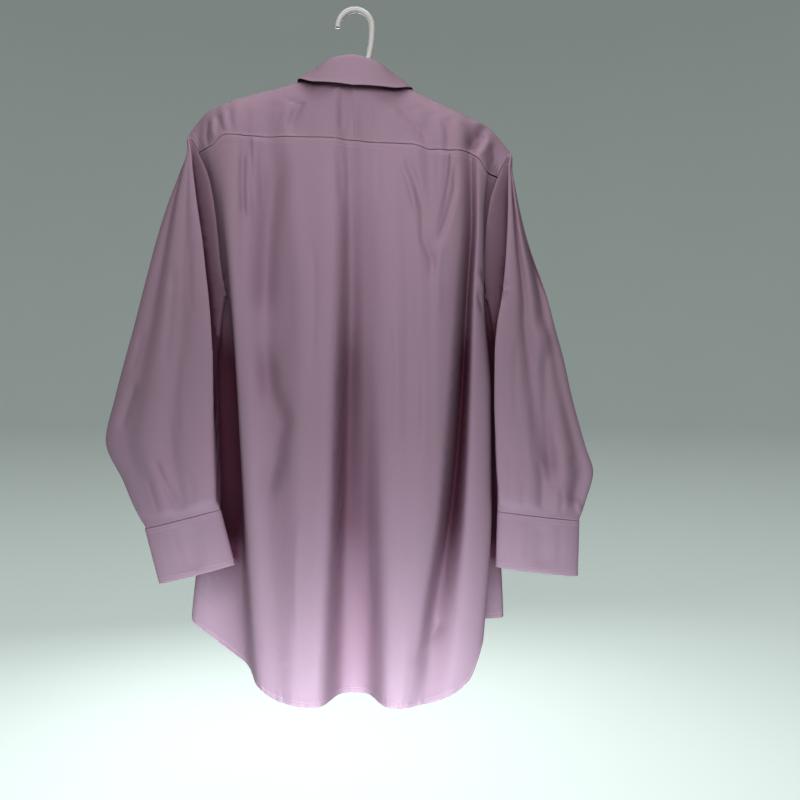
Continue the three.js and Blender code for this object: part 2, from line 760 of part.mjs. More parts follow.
function collarFall() {
  const angles = [
    ...range(TIP_COLUMNS, FALL_START, COLLAR_TIP).slice(0, -1),
    ...range(FALL_COLUMNS, COLLAR_TIP, 180 - COLLAR_TIP),
    ...range(TIP_COLUMNS, 180 - COLLAR_TIP, FALL_END).slice(1),
  ];
  const grid = FALL_PARTS.map((part) => angles.map((angle) => fallPoint(angle, part)));
  return wallFromGrid(grid, FALL_CLOTH);
}

// Sleeves, a row per height, with plan points [x, y] from the back armhole seam round to the front one.
// inner height, outer height, pleat, inner edge, face, outer edge, under side,
// and the underarm line below the armhole
const SLEEVE_LEFT = [
  [-165, -165, 215.5, 8, 215, 9, 216, 8, 217.5, 2, 216.5, -4, 0, 0],
  [-185, -185, 209, 12, 208, 21, 211, 21, 215, 9, 212, -6, 0, 0],
  [-215, -215, 212, 9, 204, 26, 214, 26, 225, 12, 212, -7, 0, 0],
  [-255, -255, 214, 7, 198, 29, 218, 28, 240, 13, 214, -8, 0, 0],
  [-300, -300, 215, 6, 191, 31, 224, 28, 254, 13, 216, -9, 0, 0],
  [-345, -345, 215, 5, 186, 31, 228, 28, 266, 13, 220, -9, 0, 0],
  [-371, -371, 212, 6, 183, 31, 229, 29, 273, 12, 222, -9, 168, 3.4],
  [-410, -410, 204, 9, 180, 30, 233, 28, 283, 12, 228, -8, 173, 2],
  [-450, -450, 193, 13, 178.5, 28, 237, 28, 294, 12, 234, -7, 177, 3],
  [-500, -500, 182, 14, 179, 25, 243, 28, 307, 12, 240, -6, 177, 4],
  [-555, -556, 177, 15, 180, 25, 248, 28, 319, 12, 246, -5, 175, 6],
  [-600, -606, 175, 17, 178, 26, 238, 30, 297, 13, 236, -3, 173, 8],
  [-630, -642, 174, 19, 177, 27, 228, 31, 281, 15, 226, -1, 172, 10],
  [-643.7, -667.4, 171.6, 19, 173, 22.5, 220, 26.5, 266, 17, 218, 7.5, 172, 13],
];
const SLEEVE_RIGHT = [
  [-188, -188, -202, 8, -201.5, 9, -202.5, 8, -204, 2, -203, -4, 0, 0],
  [-208, -208, -197, 11, -197, 21, -199, 21, -203, 9, -202, -6, 0, 0],
  [-235, -235, -201, 8, -196, 26, -201, 26, -207, 12, -200, -7, 0, 0],
  [-270, -270, -203, 6, -195, 29, -205, 28, -214, 13, -204, -8, 0, 0],
  [-310, -310, -205, 5, -193, 31, -210, 29, -225, 13, -208, -9, 0, 0],
  [-350, -350, -207, 4, -190, 31, -216, 29, -239.5, 13, -212, -9, 0, 0],
  [-375, -375, -205, 5, -187, 31, -218, 29, -248, 12, -213, -9, -172, 2.4],
  [-410, -410, -198, 8, -181, 30, -220, 28, -257, 12, -219, -8, -178, 2],
  [-450, -450, -190, 13, -178.5, 28, -224, 28, -268, 12, -222, -7, -180, 3],
  [-500, -500, -183, 14, -178.5, 25, -229, 28, -279, 12, -228, -6, -180, 4],
  [-560, -562, -181, 15, -181, 25, -236, 27, -296, 12, -234, -5, -180, 6],
  [-590, -596, -182, 17, -182, 26, -240, 29, -306, 13, -238, -3, -181, 8],
  [-620, -630, -183, 19, -184, 27, -240, 30, -297, 15, -238, -1, -182, 10],
  [-646, -657.5, -183.2, 19, -184.5, 22.5, -235, 26.5, -287, 17, -234, 7.5, -183.5, 13],
];
// Mesh columns between neighbouring sleeve points
const SLEEVE_COLUMNS = [3, 2, 4, 5, 5, 5];
const SLEEVE_UPPER_ROWS = 9;
const SLEEVE_LOWER_ROWS = 9;
// Row of the table where the sleeve closes under the arm
const SLEEVE_JOIN_ROW = 6;
const UNDERARM_STEP = 0.6;
const WRIST_FADE = 0.08;

// Soft folds of the sleeve faces:
// [part of the way out at the top, at the wrist, half width, depth top, middle, wrist]
const SLEEVE_FOLDS_LEFT = [
  [0.3, 0.42, 0.1, 0, -3, -5],
  [0.62, 0.6, 0.12, 1, 2, 1],
  [0.75, 0.8, 0.1, -1, -4, 0],
];
const SLEEVE_FOLDS_RIGHT = [
  [0.45, 0.5, 0.1, -4, -7, -3],
  [0.7, 0.72, 0.12, 1, 3, 2],
  [0.85, 0.88, 0.07, 0, -2, -5],
];
function sleevePoint(left, level, u) {
  const rows = left ? SLEEVE_LEFT : SLEEVE_RIGHT;
  const numbered = rows.map((row, k) => [k, ...row]);
  const at = (column) => smoothColumn(numbered, level, column + 1);
  const innerZ = at(0);
  const outerZ = at(1);
  const points = [];
  for (let k = 0; k < 5; k += 1) points.push([at(2 + 2 * k), at(3 + 2 * k)]);
  const sign = left ? 1 : -1;
  const isOpen = level < SLEEVE_JOIN_ROW;
  const under = [rows[SLEEVE_JOIN_ROW][12], rows[SLEEVE_JOIN_ROW][13]];
  let first = isOpen ? armholePoint(left, innerZ, true) : [at(12), at(13)];
  let last = isOpen ? armholePoint(left, innerZ, false) : first;
  if (isOpen) {
    const near = ease(level - SLEEVE_JOIN_ROW + 1);
    first = [lerp(first[0] + sign * SLEEVE_SEAM, under[0], near), lerp(first[1], under[1], near)];
    last = [
      lerp(last[0] + sign * SLEEVE_SEAM, under[0], near),
      lerp(last[1], under[1] - UNDERARM_STEP, near),
    ];
  }
  const all = [first, ...points, last];
  const [x, y] = curveThrough(all, u);
  const innerX = Math.abs(all[2][0]);
  const outerX = Math.abs(all[4][0]);
  const out = clamp01((Math.abs(x) - innerX) / (outerX - innerX));
  const z = lerp(innerZ, outerZ, out);
  const folds = left ? SLEEVE_FOLDS_LEFT : SLEEVE_FOLDS_RIGHT;
  const down = level / (rows.length - 1);
  const onFace = u > 2 && u < 4 ? ease((u - 2) * 3) * ease((4 - u) * 3) : 0;
  let fold = 0;
  for (const [start, end, half, top, middle, wrist] of folds) {
    const depth = smoothColumn([[0, top], [0.5, middle], [1, wrist]], down, 1);
    fold += depth * bell((out - lerp(start, end, down)) / half);
  }
  const ends = ease(down * 4) * ease((1 - down) / WRIST_FADE);
  return [x, y + onFace * fold * ends, z];
}
function sleeve(left) {
  const levels = (left ? SLEEVE_LEFT : SLEEVE_RIGHT).length - 1;
  const places = columnPlaces(SLEEVE_COLUMNS);
  const heights = [
    ...range(SLEEVE_UPPER_ROWS, 0, SLEEVE_JOIN_ROW),
    ...range(SLEEVE_LOWER_ROWS, SLEEVE_JOIN_ROW, levels).slice(1),
  ];
  const grid = heights.map((level) => places.map((u) => sleevePoint(left, level, u)));
  return wallFromGrid(grid, CLOTH, SLEEVE_UPPER_ROWS);
}

// Cuffs: a flattened band round the wrist, lapped on the hidden side. top and bottom are its middle points,
// and tilt is how its edges fall away from the body.
const CUFF_HALF_DEPTH = 9.5;
const CUFF_LEFT = { top: [219, 17, -656.3], bottom: [200.5, 18, -725.5], halfWidth: 48, tilt: -0.2548 };
const CUFF_RIGHT = { top: [-235.2, 17, -652.3], bottom: [-233, 18, -722], halfWidth: 52, tilt: 0.113 };
const CUFF_LAP = 2.4;
const LAP_START = 0.9;
const LAP_RUN = 0.06;
const CUFF_TURNS = 1.075;
const CUFF_FIRST_TURN = -0.16;
const CUFF_STEPS = 34;
const CUFF_ROWS = 3;
function cuffPoint(left, turn, part) {
  const cuff = left ? CUFF_LEFT : CUFF_RIGHT;
  const sign = left ? 1 : -1;
  const grow = CUFF_LAP * ease((turn - LAP_START) / LAP_RUN);
  const angle = (turn * CUFF_TURNS + CUFF_FIRST_TURN) * 2 * Math.PI;
  const across = Math.cos(angle) * (cuff.halfWidth + grow / 2);
  const deep = Math.sin(angle) * (CUFF_HALF_DEPTH + grow);
  const middle = [0, 1, 2].map((k) => lerp(cuff.top[k], cuff.bottom[k], part));
  const x = sign * across;
  return [middle[0] + x, middle[1] + deep, middle[2] + cuff.tilt * x];
}
function cuff(left) {
  const grid = range(CUFF_ROWS, 0, 1).map((part) =>
    range(CUFF_STEPS, 0, 1).map((turn) => cuffPoint(left, turn, part)),
  );
  return wallFromGrid(grid, FIRM_CLOTH);
}

// Tube along a path of points, closed round or capped at both ends.
function tube(path, radius, sides, isLoop) {
  const points = path.map((p) => new THREE.Vector3(...p));
  const count = points.length;
  const rings = points.map((p, k) => {
    const before = points[isLoop ? (k + count - 1) % count : Math.max(0, k - 1)];
    const after = points[isLoop ? (k + 1) % count : Math.min(count - 1, k + 1)];
    const along = after.clone().sub(before).normalize();
    const side = new THREE.Vector3(0, 1, 0);
    const up = new THREE.Vector3().crossVectors(along, side).normalize();
    const turns = range(sides, 0, 2 * Math.PI).slice(0, sides);
    return turns.map((a) => {
      const onRing = p.clone().addScaledVector(side, radius * Math.cos(a));
      return onRing.addScaledVector(up, radius * Math.sin(a));
    });
  });
  const positions = rings.flat().flatMap((p) => [p.x, p.y, p.z]);
  const faces = [];
  const at = (k, s) => (k % count) * sides + (s % sides);
  for (let k = 0; k < (isLoop ? count : count - 1); k += 1) {
    for (let s = 0; s < sides; s += 1) {
      faces.push(at(k, s), at(k + 1, s), at(k + 1, s + 1), at(k, s), at(k + 1, s + 1), at(k, s + 1));
    }
  }
  if (!isLoop) {
    for (const [k, turned] of [[0, false], [count - 1, true]]) {
      for (let s = 1; s + 1 < sides; s += 1) {
        faces.push(at(k, 0), at(k, turned ? s + 1 : s), at(k, turned ? s : s + 1));
      }
    }
  }
  return solidFrom(positions, faces);
}

// Joins closed geometries into one.
function joined(geometries) {
  const solids = geometries.map((g) => {
    const mesh = new wasm.Mesh({
      numProp: 3,
      vertProperties: new Float32Array(g.getAttribute("position").array),
      triVerts: new Uint32Array(g.index.array),
    });
    return new wasm.Manifold(mesh);
  });
  const whole = solids.reduce((a, b) => a.add(b)).getMesh();
  const geometry = new THREE.BufferGeometry();
  geometry.setAttribute("position", new THREE.Float32BufferAttribute(whole.vertProperties, 3));
  geometry.setIndex([...whole.triVerts]);
  geometry.computeVertexNormals();
  return geometry;
}

// Hanger: a loop of tube with a hook on top, tilted a little. Its arms run just under the shoulders' cloth.
const TUBE_RADIUS = 4.4;
const HOOK_RADIUS = 3.7;
const ARM_CLEARANCE = 1.5;
const ARM_DROP = TUBE_RADIUS + CLOTH / 2 + ARM_CLEARANCE;
const TUBE_SIDES = 10;
const BAR_DROP = 24;
const HANGER_NECK = [-7, -79];
const HOOK_BEND = 22.3;
const HOOK_TIP_ANGLE = -5;
// Arms: distances from the middle where the tube is set under the cloth, and the middle of each end's turn
const LEFT_ARM = [66, 90, 115, 138, 152, 163];
const RIGHT_ARM = [-148, -136, -120, -100, -73];
const LEFT_END = { x: 170, under: 176, sign: 1 };
const RIGHT_END = { x: -154, under: -158, sign: -1 };
// Tube between the arms and the hook's foot, and the hook's shank: [x, z]
const LEFT_RISE = [[2, -79], [30, -87]];
const RIGHT_RISE = [[-40, -93], [-16, -80.5]];
const SHANK = [[-21.6, -34], [-19, -52], [-14, -68], HANGER_NECK];
const underCloth = (x) => [x, shoulderHeight(x) - ARM_DROP];
function hangerEnd({ x, under, sign }) {
  const half = BAR_DROP / 2;
  const top = underCloth(under)[1] - 1;
  return range(6, 80, -80).map((a) => [
    x + sign * half * Math.cos(a * RADIAN),
    top - half + half * Math.sin(a * RADIAN),
  ]);
}
function hanger() {
  const loop = [
    ...LEFT_RISE,
    ...LEFT_ARM.map(underCloth),
    ...hangerEnd(LEFT_END),
    ...hangerEnd(RIGHT_END).reverse(),
    ...RIGHT_ARM.map(underCloth),
    ...RIGHT_RISE,
  ];
  const bend = range(16, HOOK_TIP_ANGLE, 180).map((a) => [
    HOOK_BEND * Math.cos(a * RADIAN),
    HOOK_RADIUS - HOOK_BEND + HOOK_BEND * Math.sin(a * RADIAN),
  ]);
  const inPlane = ([x, z]) => [x, 0, z];
  const frame = tube(loop.map(inPlane), TUBE_RADIUS, TUBE_SIDES, true);
  const hook = tube([...bend, ...SHANK].map(inPlane), HOOK_RADIUS, TUBE_SIDES, false);
  return joined([frame, hook]);
}

// A button: a disc with a raised rim, on a place with its face turned along a direction.
const BUTTON_RADIUS = 5.6;
const BUTTON_THICK = 2.4;
const BUTTON_SIDES = 14;
const DISH = 0.28 * BUTTON_THICK;
function button(centre, direction, radius) {
  const profile = [
    [0, -BUTTON_THICK / 2],
    [radius * 0.8, -BUTTON_THICK / 2],
    [radius, 0],
    [radius * 0.92, BUTTON_THICK / 2],
    [radius * 0.7, DISH],
    [0, DISH],
  ];
  const positions = [];
  const axis = new THREE.Vector3(...direction).normalize();
  const side = new THREE.Vector3(1, 0, 0).addScaledVector(axis, -axis.x).normalize();
  const up = new THREE.Vector3().crossVectors(axis, side);
  const origin = new THREE.Vector3(...centre);
  const put = (r, h, a) => {
    const p = origin.clone().addScaledVector(axis, h);
    p.addScaledVector(side, r * Math.cos(a)).addScaledVector(up, r * Math.sin(a));
    positions.push(p.x, p.y, p.z);
  };
  put(0, profile[0][1], 0);
  for (const [r, h] of profile.slice(1, -1)) {
    range(BUTTON_SIDES, 0, 2 * Math.PI).slice(0, BUTTON_SIDES).forEach((a) => put(r, h, a));
  }
  put(0, profile[profile.length - 1][1], 0);
  const ringCount = profile.length - 2;
  const at = (ring, k) => 1 + ring * BUTTON_SIDES + (k % BUTTON_SIDES);
  const end = positions.length / 3 - 1;
  const faces = [];
  for (let k = 0; k < BUTTON_SIDES; k += 1) {
    faces.push(0, at(0, k + 1), at(0, k));
    for (let ring = 0; ring + 1 < ringCount; ring += 1) {
      faces.push(at(ring, k), at(ring, k + 1), at(ring + 1, k + 1));
      faces.push(at(ring, k), at(ring + 1, k + 1), at(ring + 1, k));
    }
    faces.push(at(ringCount - 1, k), at(ringCount - 1, k + 1), end);
  }
  return solidFrom(positions, faces);
}

// Place and outward direction of a surface given by two numbers
function surfaceFrame(surface, a, b, step) {
  const p = new THREE.Vector3(...surface(a, b));
  const pa = new THREE.Vector3(...surface(a + step, b)).sub(p);
  const pb = new THREE.Vector3(...surface(a, b + step)).sub(p);
  return { place: p, out: pa.cross(pb).normalize() };
}

// Front buttons lie on the strip, evenly spaced from below the collar.
const FRONT_BUTTONS = 6;
const FIRST_BUTTON = 0.085;
const LAST_BUTTON = 0.79;
const BUTTON_LIFT = 2.5;
function frontButton(number) {
  const along = lerp(FIRST_BUTTON, LAST_BUTTON, number / (FRONT_BUTTONS - 1));
  const { place, out } = surfaceFrame(frontPoint, FRONT_CENTRE_INDEX, along, 0.01);
  if (out.y > 0) out.negate();
  return button(place.addScaledVector(out, BUTTON_LIFT).toArray(), out.toArray(), BUTTON_RADIUS);
}
// Cuff button on the lap, on the hidden side
const CUFF_BUTTON_TURN = 0.955;
const CUFF_BUTTON_LIFT = 2.45;
const CUFF_BUTTON_RADIUS = 5;
function cuffButton(left) {
  const surface = (turn, part) => cuffPoint(left, turn, part);
  const { place, out } = surfaceFrame(surface, CUFF_BUTTON_TURN, 0.5, 0.004);
  if (out.y > 0) out.negate();
  return button(place.addScaledVector(out, CUFF_BUTTON_LIFT).toArray(), out.toArray(), CUFF_BUTTON_RADIUS);
}

// Strip beside each wrist opening, lying on the sleeve along its outer edge.
const STRIP_LEVELS = [9.6, 12.75];
const STRIP_INDEX = [4.4, 4.95];
const STRIP_LIFT = 2.2;
const STRIP_ROWS = 10;
const STRIP_COLUMNS = 3;
function sleeveStrip(left) {
  const surface = (level, u) => sleevePoint(left, level, u);
  const grid = range(STRIP_ROWS, ...STRIP_LEVELS).map((level) =>
    range(STRIP_COLUMNS, ...STRIP_INDEX).map((u) => {
      const { place, out } = surfaceFrame(surface, level, u, 0.02);
      const outward = left ? -1 : 1;
      return place.addScaledVector(out, STRIP_LIFT * outward).toArray();
    }),
  );
  return wallFromGrid(grid, CLOTH);
}

const group = new THREE.Group();
group.name = "dress_shirt";
function add(name, geometry, color) {
  const mesh = new THREE.Mesh(geometry, new THREE.MeshStandardMaterial({ color, roughness: 0.8 }));
  mesh.name = name;
  group.add(mesh);
}

add("yoke_left", yokeHalf(true), LILAC);
add("yoke_right", yokeHalf(false), LILAC);
add("back_panel", backPanel(), LILAC);
add("front_left", frontLeft(), LILAC);
add("front_right", frontRight(), LILAC);
add("front_placket", frontPlacket(), LILAC);
add("collar_stand", collarStand(), LILAC);
add("collar_fall", collarFall(), LILAC);
add("sleeve_left", sleeve(true), LILAC);
add("sleeve_right", sleeve(false), LILAC);
add("cuff_left", cuff(true), LILAC);
add("cuff_right", cuff(false), LILAC);
add("sleeve_placket_left", sleeveStrip(true), LILAC);
add("sleeve_placket_right", sleeveStrip(false), LILAC);
for (let number = 0; number < FRONT_BUTTONS; number += 1) {
  add("button_" + (number + 1), frontButton(number), BUTTON_COLOUR);
}
add("cuff_button_left", cuffButton(true), BUTTON_COLOUR);
add("cuff_button_right", cuffButton(false), BUTTON_COLOUR);
add("hanger", hanger(), WHITE_PLASTIC);

export default group;
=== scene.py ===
"""Looks of a long sleeve dress shirt on a plastic tube hanger.
Shapes are worked out in millimetres, with the hook at the origin. Meshes are made of them in metres.
+X is the wearer's left, the front faces -Y and +Z is up."""
import functools
import math

import bpy
import numpy as np
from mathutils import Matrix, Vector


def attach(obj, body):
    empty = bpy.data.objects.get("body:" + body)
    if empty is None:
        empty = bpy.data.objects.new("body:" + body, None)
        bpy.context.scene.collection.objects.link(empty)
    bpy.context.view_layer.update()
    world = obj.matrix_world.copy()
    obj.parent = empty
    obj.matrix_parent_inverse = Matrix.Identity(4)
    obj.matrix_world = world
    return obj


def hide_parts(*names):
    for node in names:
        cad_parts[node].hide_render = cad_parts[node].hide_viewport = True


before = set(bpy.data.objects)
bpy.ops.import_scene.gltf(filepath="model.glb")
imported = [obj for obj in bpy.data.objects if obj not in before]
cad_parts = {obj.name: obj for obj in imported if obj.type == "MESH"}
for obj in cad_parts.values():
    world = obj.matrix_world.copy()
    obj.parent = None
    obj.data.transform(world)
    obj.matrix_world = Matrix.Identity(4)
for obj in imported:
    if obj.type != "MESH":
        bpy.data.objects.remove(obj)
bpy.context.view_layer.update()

MM = 0.001
CLOTH = 0.8
FIRM_CLOTH = 1.3
RADIAN = math.pi / 180


# Number helpers
def lerp(a, b, t):
    return a + (b - a) * t


def clamp01(t):
    return np.clip(t, 0.0, 1.0)


def ease(t):
    c = clamp01(t)
    return c * c * (3 - 2 * c)


def bell(t):
    return np.exp(-np.square(t))


def smooth(rows, place, column):
    """Smooth value of a column at a place, in rows sorted by their first number."""
    x = np.array([row[0] for row in rows], float)
    y = np.array([row[column] for row in rows], float)
    if x[-1] < x[0]:
        x, y = x[::-1], y[::-1]
    slope = np.diff(y) / np.diff(x)
    tangent = np.zeros_like(y)
    tangent[0], tangent[-1] = slope[0], slope[-1]
    before, after = slope[:-1], slope[1:]
    total = np.where(before + after == 0, 1.0, before + after)
    tangent[1:-1] = np.where(before * after > 0, 2 * before * after / total, 0.0)
    place = np.clip(place, x[0], x[-1])
    i = np.clip(np.searchsorted(x, place, side="right") - 1, 0, len(x) - 2)
    span = x[i + 1] - x[i]
    t = (place - x[i]) / span
    return (
        (2 * t**3 - 3 * t**2 + 1) * y[i]
        + (t**3 - 2 * t**2 + t) * span * tangent[i]
        + (3 * t**2 - 2 * t**3) * y[i + 1]
        + (t**3 - t**2) * span * tangent[i + 1]
    )


def curve_through(points, u):
    """Points at index number u on smooth curves through plan points, which are the last two axes of points."""
    count = points.shape[-2]
    moves = np.diff(points, axis=-2)
    steps = np.sqrt(np.hypot(moves[..., 0], moves[..., 1]))[..., None] + 1e-6
    slopes = moves / steps
    tangents = np.empty_like(points)
    tangents[..., 0, :] = slopes[..., 0, :]
    tangents[..., -1, :] = slopes[..., -1, :]
    before, after = steps[..., :-1, :], steps[..., 1:, :]
    tangents[..., 1:-1, :] = (slopes[..., :-1, :] * after + slopes[..., 1:, :] * before) / (before + after)
    i = np.clip(np.floor(u).astype(int), 0, count - 2)
    t = (u - i)[..., None]

    def pick(values, k):
        return np.take_along_axis(values, k[..., None, None], axis=-2)[..., 0, :]

    span = pick(steps, i)
    return (
        (2 * t**3 - 3 * t**2 + 1) * pick(points, i)
        + (t**3 - 2 * t**2 + t) * span * pick(tangents, i)
        + (3 * t**2 - 2 * t**3) * pick(points, i + 1)
        + (t**3 - t**2) * span * pick(tangents, i + 1)
    )


# Shoulder line: [x, height of the cloth over the hanger's arm]
SHOULDER_LINE = [
    [-204, -186], [-192, -171], [-183, -160], [-170, -147.5], [-156, -141.5], [-130, -129],
    [-103, -116.5], [-73, -102.5], [-57, -93], [-33, -68], [0, -30], [33, -65], [57, -88], [88, -97.5],
    [138, -110], [173, -122], [190, -129], [199, -138], [207, -147.5], [218, -163],
]

# Yoke seam across the back: [x, height]
YOKE_SEAM = [
    [-187, -219], [-170, -215], [-158, -200], [-145, -190], [-97, -188.5], [-74, -183], [-27, -181],
    [5, -176], [37, -174.5], [119, -171], [162, -169.5], [180, -182], [203, -187],
]

# Armhole seams from the shoulder tip to the underarm: [height, back x, back y, front x, front y]
ARMHOLE_LEFT = [
    [-160, 216, 0, 216, 0], [-163, 214, 5, 214, -5], [-172, 208, 10, 209, -9],
    [-186, 200, 12, 202, -12], [-224, 185, 12, 184, -15], [-276, 177, 10, 173, -15],
    [-324, 173, 7, 168, -12], [-354, 169, 4, 166, -6], [-370, 166, 1, 166, 1],
]

ARMHOLE_RIGHT = [
    [-183, -202, 0, -202, 0], [-186, -200.5, 5, -200.5, -5], [-196, -194.5, 10, -196, -9],
    [-217, -184, 11, -187, -12], [-246, -174.5, 10, -175, -15], [-290, -168.5, 8, -168, -15],
    [-335, -166.5, 6, -165, -11], [-360, -168, 3, -167, -5], [-374, -170, 0, -170, 0],
]

# Side seams under the arms: [height, left x, left y, right x, right y]
SIDE_SEAM = [
    [-370, 166, 1, -170, 0], [-375, 170, -1.5, -170.5, -0.5], [-381, 173, -3, -174.5, -2.5],
    [-392, 177, -5.5, -178, -5], [-430, 185, -12, -184, -11], [-500, 190, -18, -186, -16],
    [-640, 201, -23, -189, -21], [-790, 218, -25, -196, -26], [-890, 224, -27, -199, -28],
]

# Back panel, a row per height: the plan points [x, y] of its main folds from left to right.
# foot, edge, hollow, ridge, trough, trough, ridge, hollow, deep fold, crest, rim, heel
BACK_SECTIONS = [
    [-180, 184, 26, 160, 34, 104, 31, 25, 37, 6, 30, -12, 34,
     -38, 37, -134, 33, -148, 25, -157, 31, -171, 26, -177, 21],
    [-270, 169, 26, 157, 38, 106, 31, 23, 42, 4, 28, -13, 35,
     -40, 43, -133, 36, -150, 17, -157, 30, -164, 25, -166, 18],
    [-370, 161, 14, 151, 36, 110, 31, 25, 46, 4, 24, -15, 35,
     -42, 47, -126, 40, -145, 9, -153, 29, -165, 20, -164, 8],
    [-500, 155, -12, 144, 31, 104, 36, 29, 51, 6, 18, -15, 33,
     -44, 50, -116, 44, -138, 6, -150, 29, -175, 16, -166, -6],
    [-640, 152, -17, 135, 32, 98, 42, 32, 56, 9, 17, -15, 28,
     -44, 54, -103, 50, -126, 7, -144, 34, -175, 18, -166, -10],
    [-780, 150, -12, 124, 38, 96, 49, 38, 60, 13, 17, -15, 21,
     -44, 58, -81, 56, -103, 29, -132, 43, -166, 24, -158, -12],
    [-890, 142, -8, 114, 43, 88, 53, 43, 61, 15, 18, -15, 18,
     -42, 60, -66, 59, -88, 51, -122, 47, -156, 24, -150, -12],
]

# Hem of the back: [index along the back points, height]
BACK_HEM = [
    [0, -790], [1, -797], [2, -846], [3, -864], [4, -876], [5, -880], [6, -878], [7, -878], [8, -880],
    [9, -881], [10, -880], [11, -869], [11.5, -855], [12, -812], [12.5, -796], [13, -793], [15, -791],
]

# Softer folds of the back: [x at the top, x in the middle, x at the hem, half width, depth top, middle, hem]
BACK_FOLDS = [
    [136, 141, 128, 7, -3, -1, 0],
    [110, 112, 104, 16, -3, -6, 0],
    [84, 66, 74, 14, 2, 3, 3],
    [-62, -70, -62, 9, -1, -3, 2],
    [-96, -98, -100, 10, -5, -1, 0],
    [-120, -104, -112, 7, -4, 1, 0],
]

# Small pleats under the yoke: [x at the yoke, x at the end, height of the end, depth]
PLEATS = [
    [126, 122, -275, 2.8], [-120, -94, -309, 4.5],
]

# Front of the body, a row per height: plan points [x, y] side, chest, centre, chest, side
FRONT_SECTIONS = [
    [-180, 186, -20, 92, -27, 2, -30, -90, -27, -174, -20],
    [-270, 160, -23, 92, -30, 2, -33, -90, -30, -154, -23],
    [-370, 160, -19, 94, -31, 2, -35, -92, -31, -163, -19],
    [-500, 168, -26, 96, -33, 2, -37, -94, -33, -170, -26],
    [-640, 183, -30, 99, -34, 2, -38, -98, -34, -177, -30],
    [-780, 199, -33, 104, -36, 2, -39, -102, -36, -184, -33],
    [-890, 204, -34, 106, -37, 2, -40, -104, -37, -187, -34],
]

# Softer folds of the fronts, with the same columns
FRONT_FOLDS = [
    [140, 128, 132, 14, 0, -7, -9],
    [104, 96, 88, 13, 2, 5, 7],
    [62, 60, 52, 15, -1, -5, -8],
    [-58, -52, -56, 13, 1, -5, -7],
    [-84, -96, -90, 14, -1, 6, 7],
    [-132, -126, -134, 14, 0, -7, -9],
]

# Hem of the fronts: [index along the front points, height]
FRONT_HEM = [
    [0, -790], [1, -791], [2, -800], [3, -846], [4, -857], [5, -846], [6, -790], [8, -791],
]

# Neck seam: [angle round the neck, which is 90 at the back, height]
NECK_SEAM = [
    [-90, -160], [-60, -144], [-30, -112], [-8, -95.5], [10, -94.5], [35, -97.5], [60, -103],
    [90, -107],
]

# Yoke creases that hang from the hanger's ends and the neck: [x at the top, x at the seam, half width, depth]
YOKE_FOLDS = [
    [187, 188, 5, -4], [178, 168, 5, -3.5], [163, 153, 5, -3], [58, 82, 7, -5], [14, 16, 4, -1.5],
    [-51, -92, 7, -5], [-170, -147, 8, -12], [-176, -182, 4, -3],
]

# Height of the collar stand: [angle round the neck, height]
STAND_HEIGHTS = [
    [-90, 27], [-30, 20], [0, 12], [35, 13], [60, 22], [90, 30],
]

# Edge of the collar's fall: [angle round the neck, way out, height]
FALL_EDGE = [
    [-88, 4, -196], [-76, 10, -206], [-62, 12, -188], [-40, 12, -142], [-15, 12, -104], [5, 8, -93],
    [25, 9, -99], [50, 9, -109], [90, 9, -114.5],
]

# Sleeves, a row per height, with plan points [x, y] from the back armhole seam round to the front one.
# [inner height, outer height, pleat, inner edge, face, outer edge, under side, underarm line below the armhole]
SLEEVE_LEFT = [
    [-165, -165, 215.5, 8, 215, 9, 216, 8, 217.5, 2, 216.5, -4, 0, 0],
    [-185, -185, 209, 12, 208, 21, 211, 21, 215, 9, 212, -6, 0, 0],
    [-215, -215, 212, 9, 204, 26, 214, 26, 225, 12, 212, -7, 0, 0],
    [-255, -255, 214, 7, 198, 29, 218, 28, 240, 13, 214, -8, 0, 0],
    [-300, -300, 215, 6, 191, 31, 224, 28, 254, 13, 216, -9, 0, 0],
    [-345, -345, 215, 5, 186, 31, 228, 28, 266, 13, 220, -9, 0, 0],
    [-371, -371, 212, 6, 183, 31, 229, 29, 273, 12, 222, -9, 168, 3.4],
    [-410, -410, 204, 9, 180, 30, 233, 28, 283, 12, 228, -8, 173, 2],
    [-450, -450, 193, 13, 178.5, 28, 237, 28, 294, 12, 234, -7, 177, 3],
    [-500, -500, 182, 14, 179, 25, 243, 28, 307, 12, 240, -6, 177, 4],
    [-555, -556, 177, 15, 180, 25, 248, 28, 319, 12, 246, -5, 175, 6],
    [-600, -606, 175, 17, 178, 26, 238, 30, 297, 13, 236, -3, 173, 8],
    [-630, -642, 174, 19, 177, 27, 228, 31, 281, 15, 226, -1, 172, 10],
    [-643.7, -667.4, 171.6, 19, 173, 22.5, 220, 26.5, 266, 17, 218, 7.5, 172, 13],
]

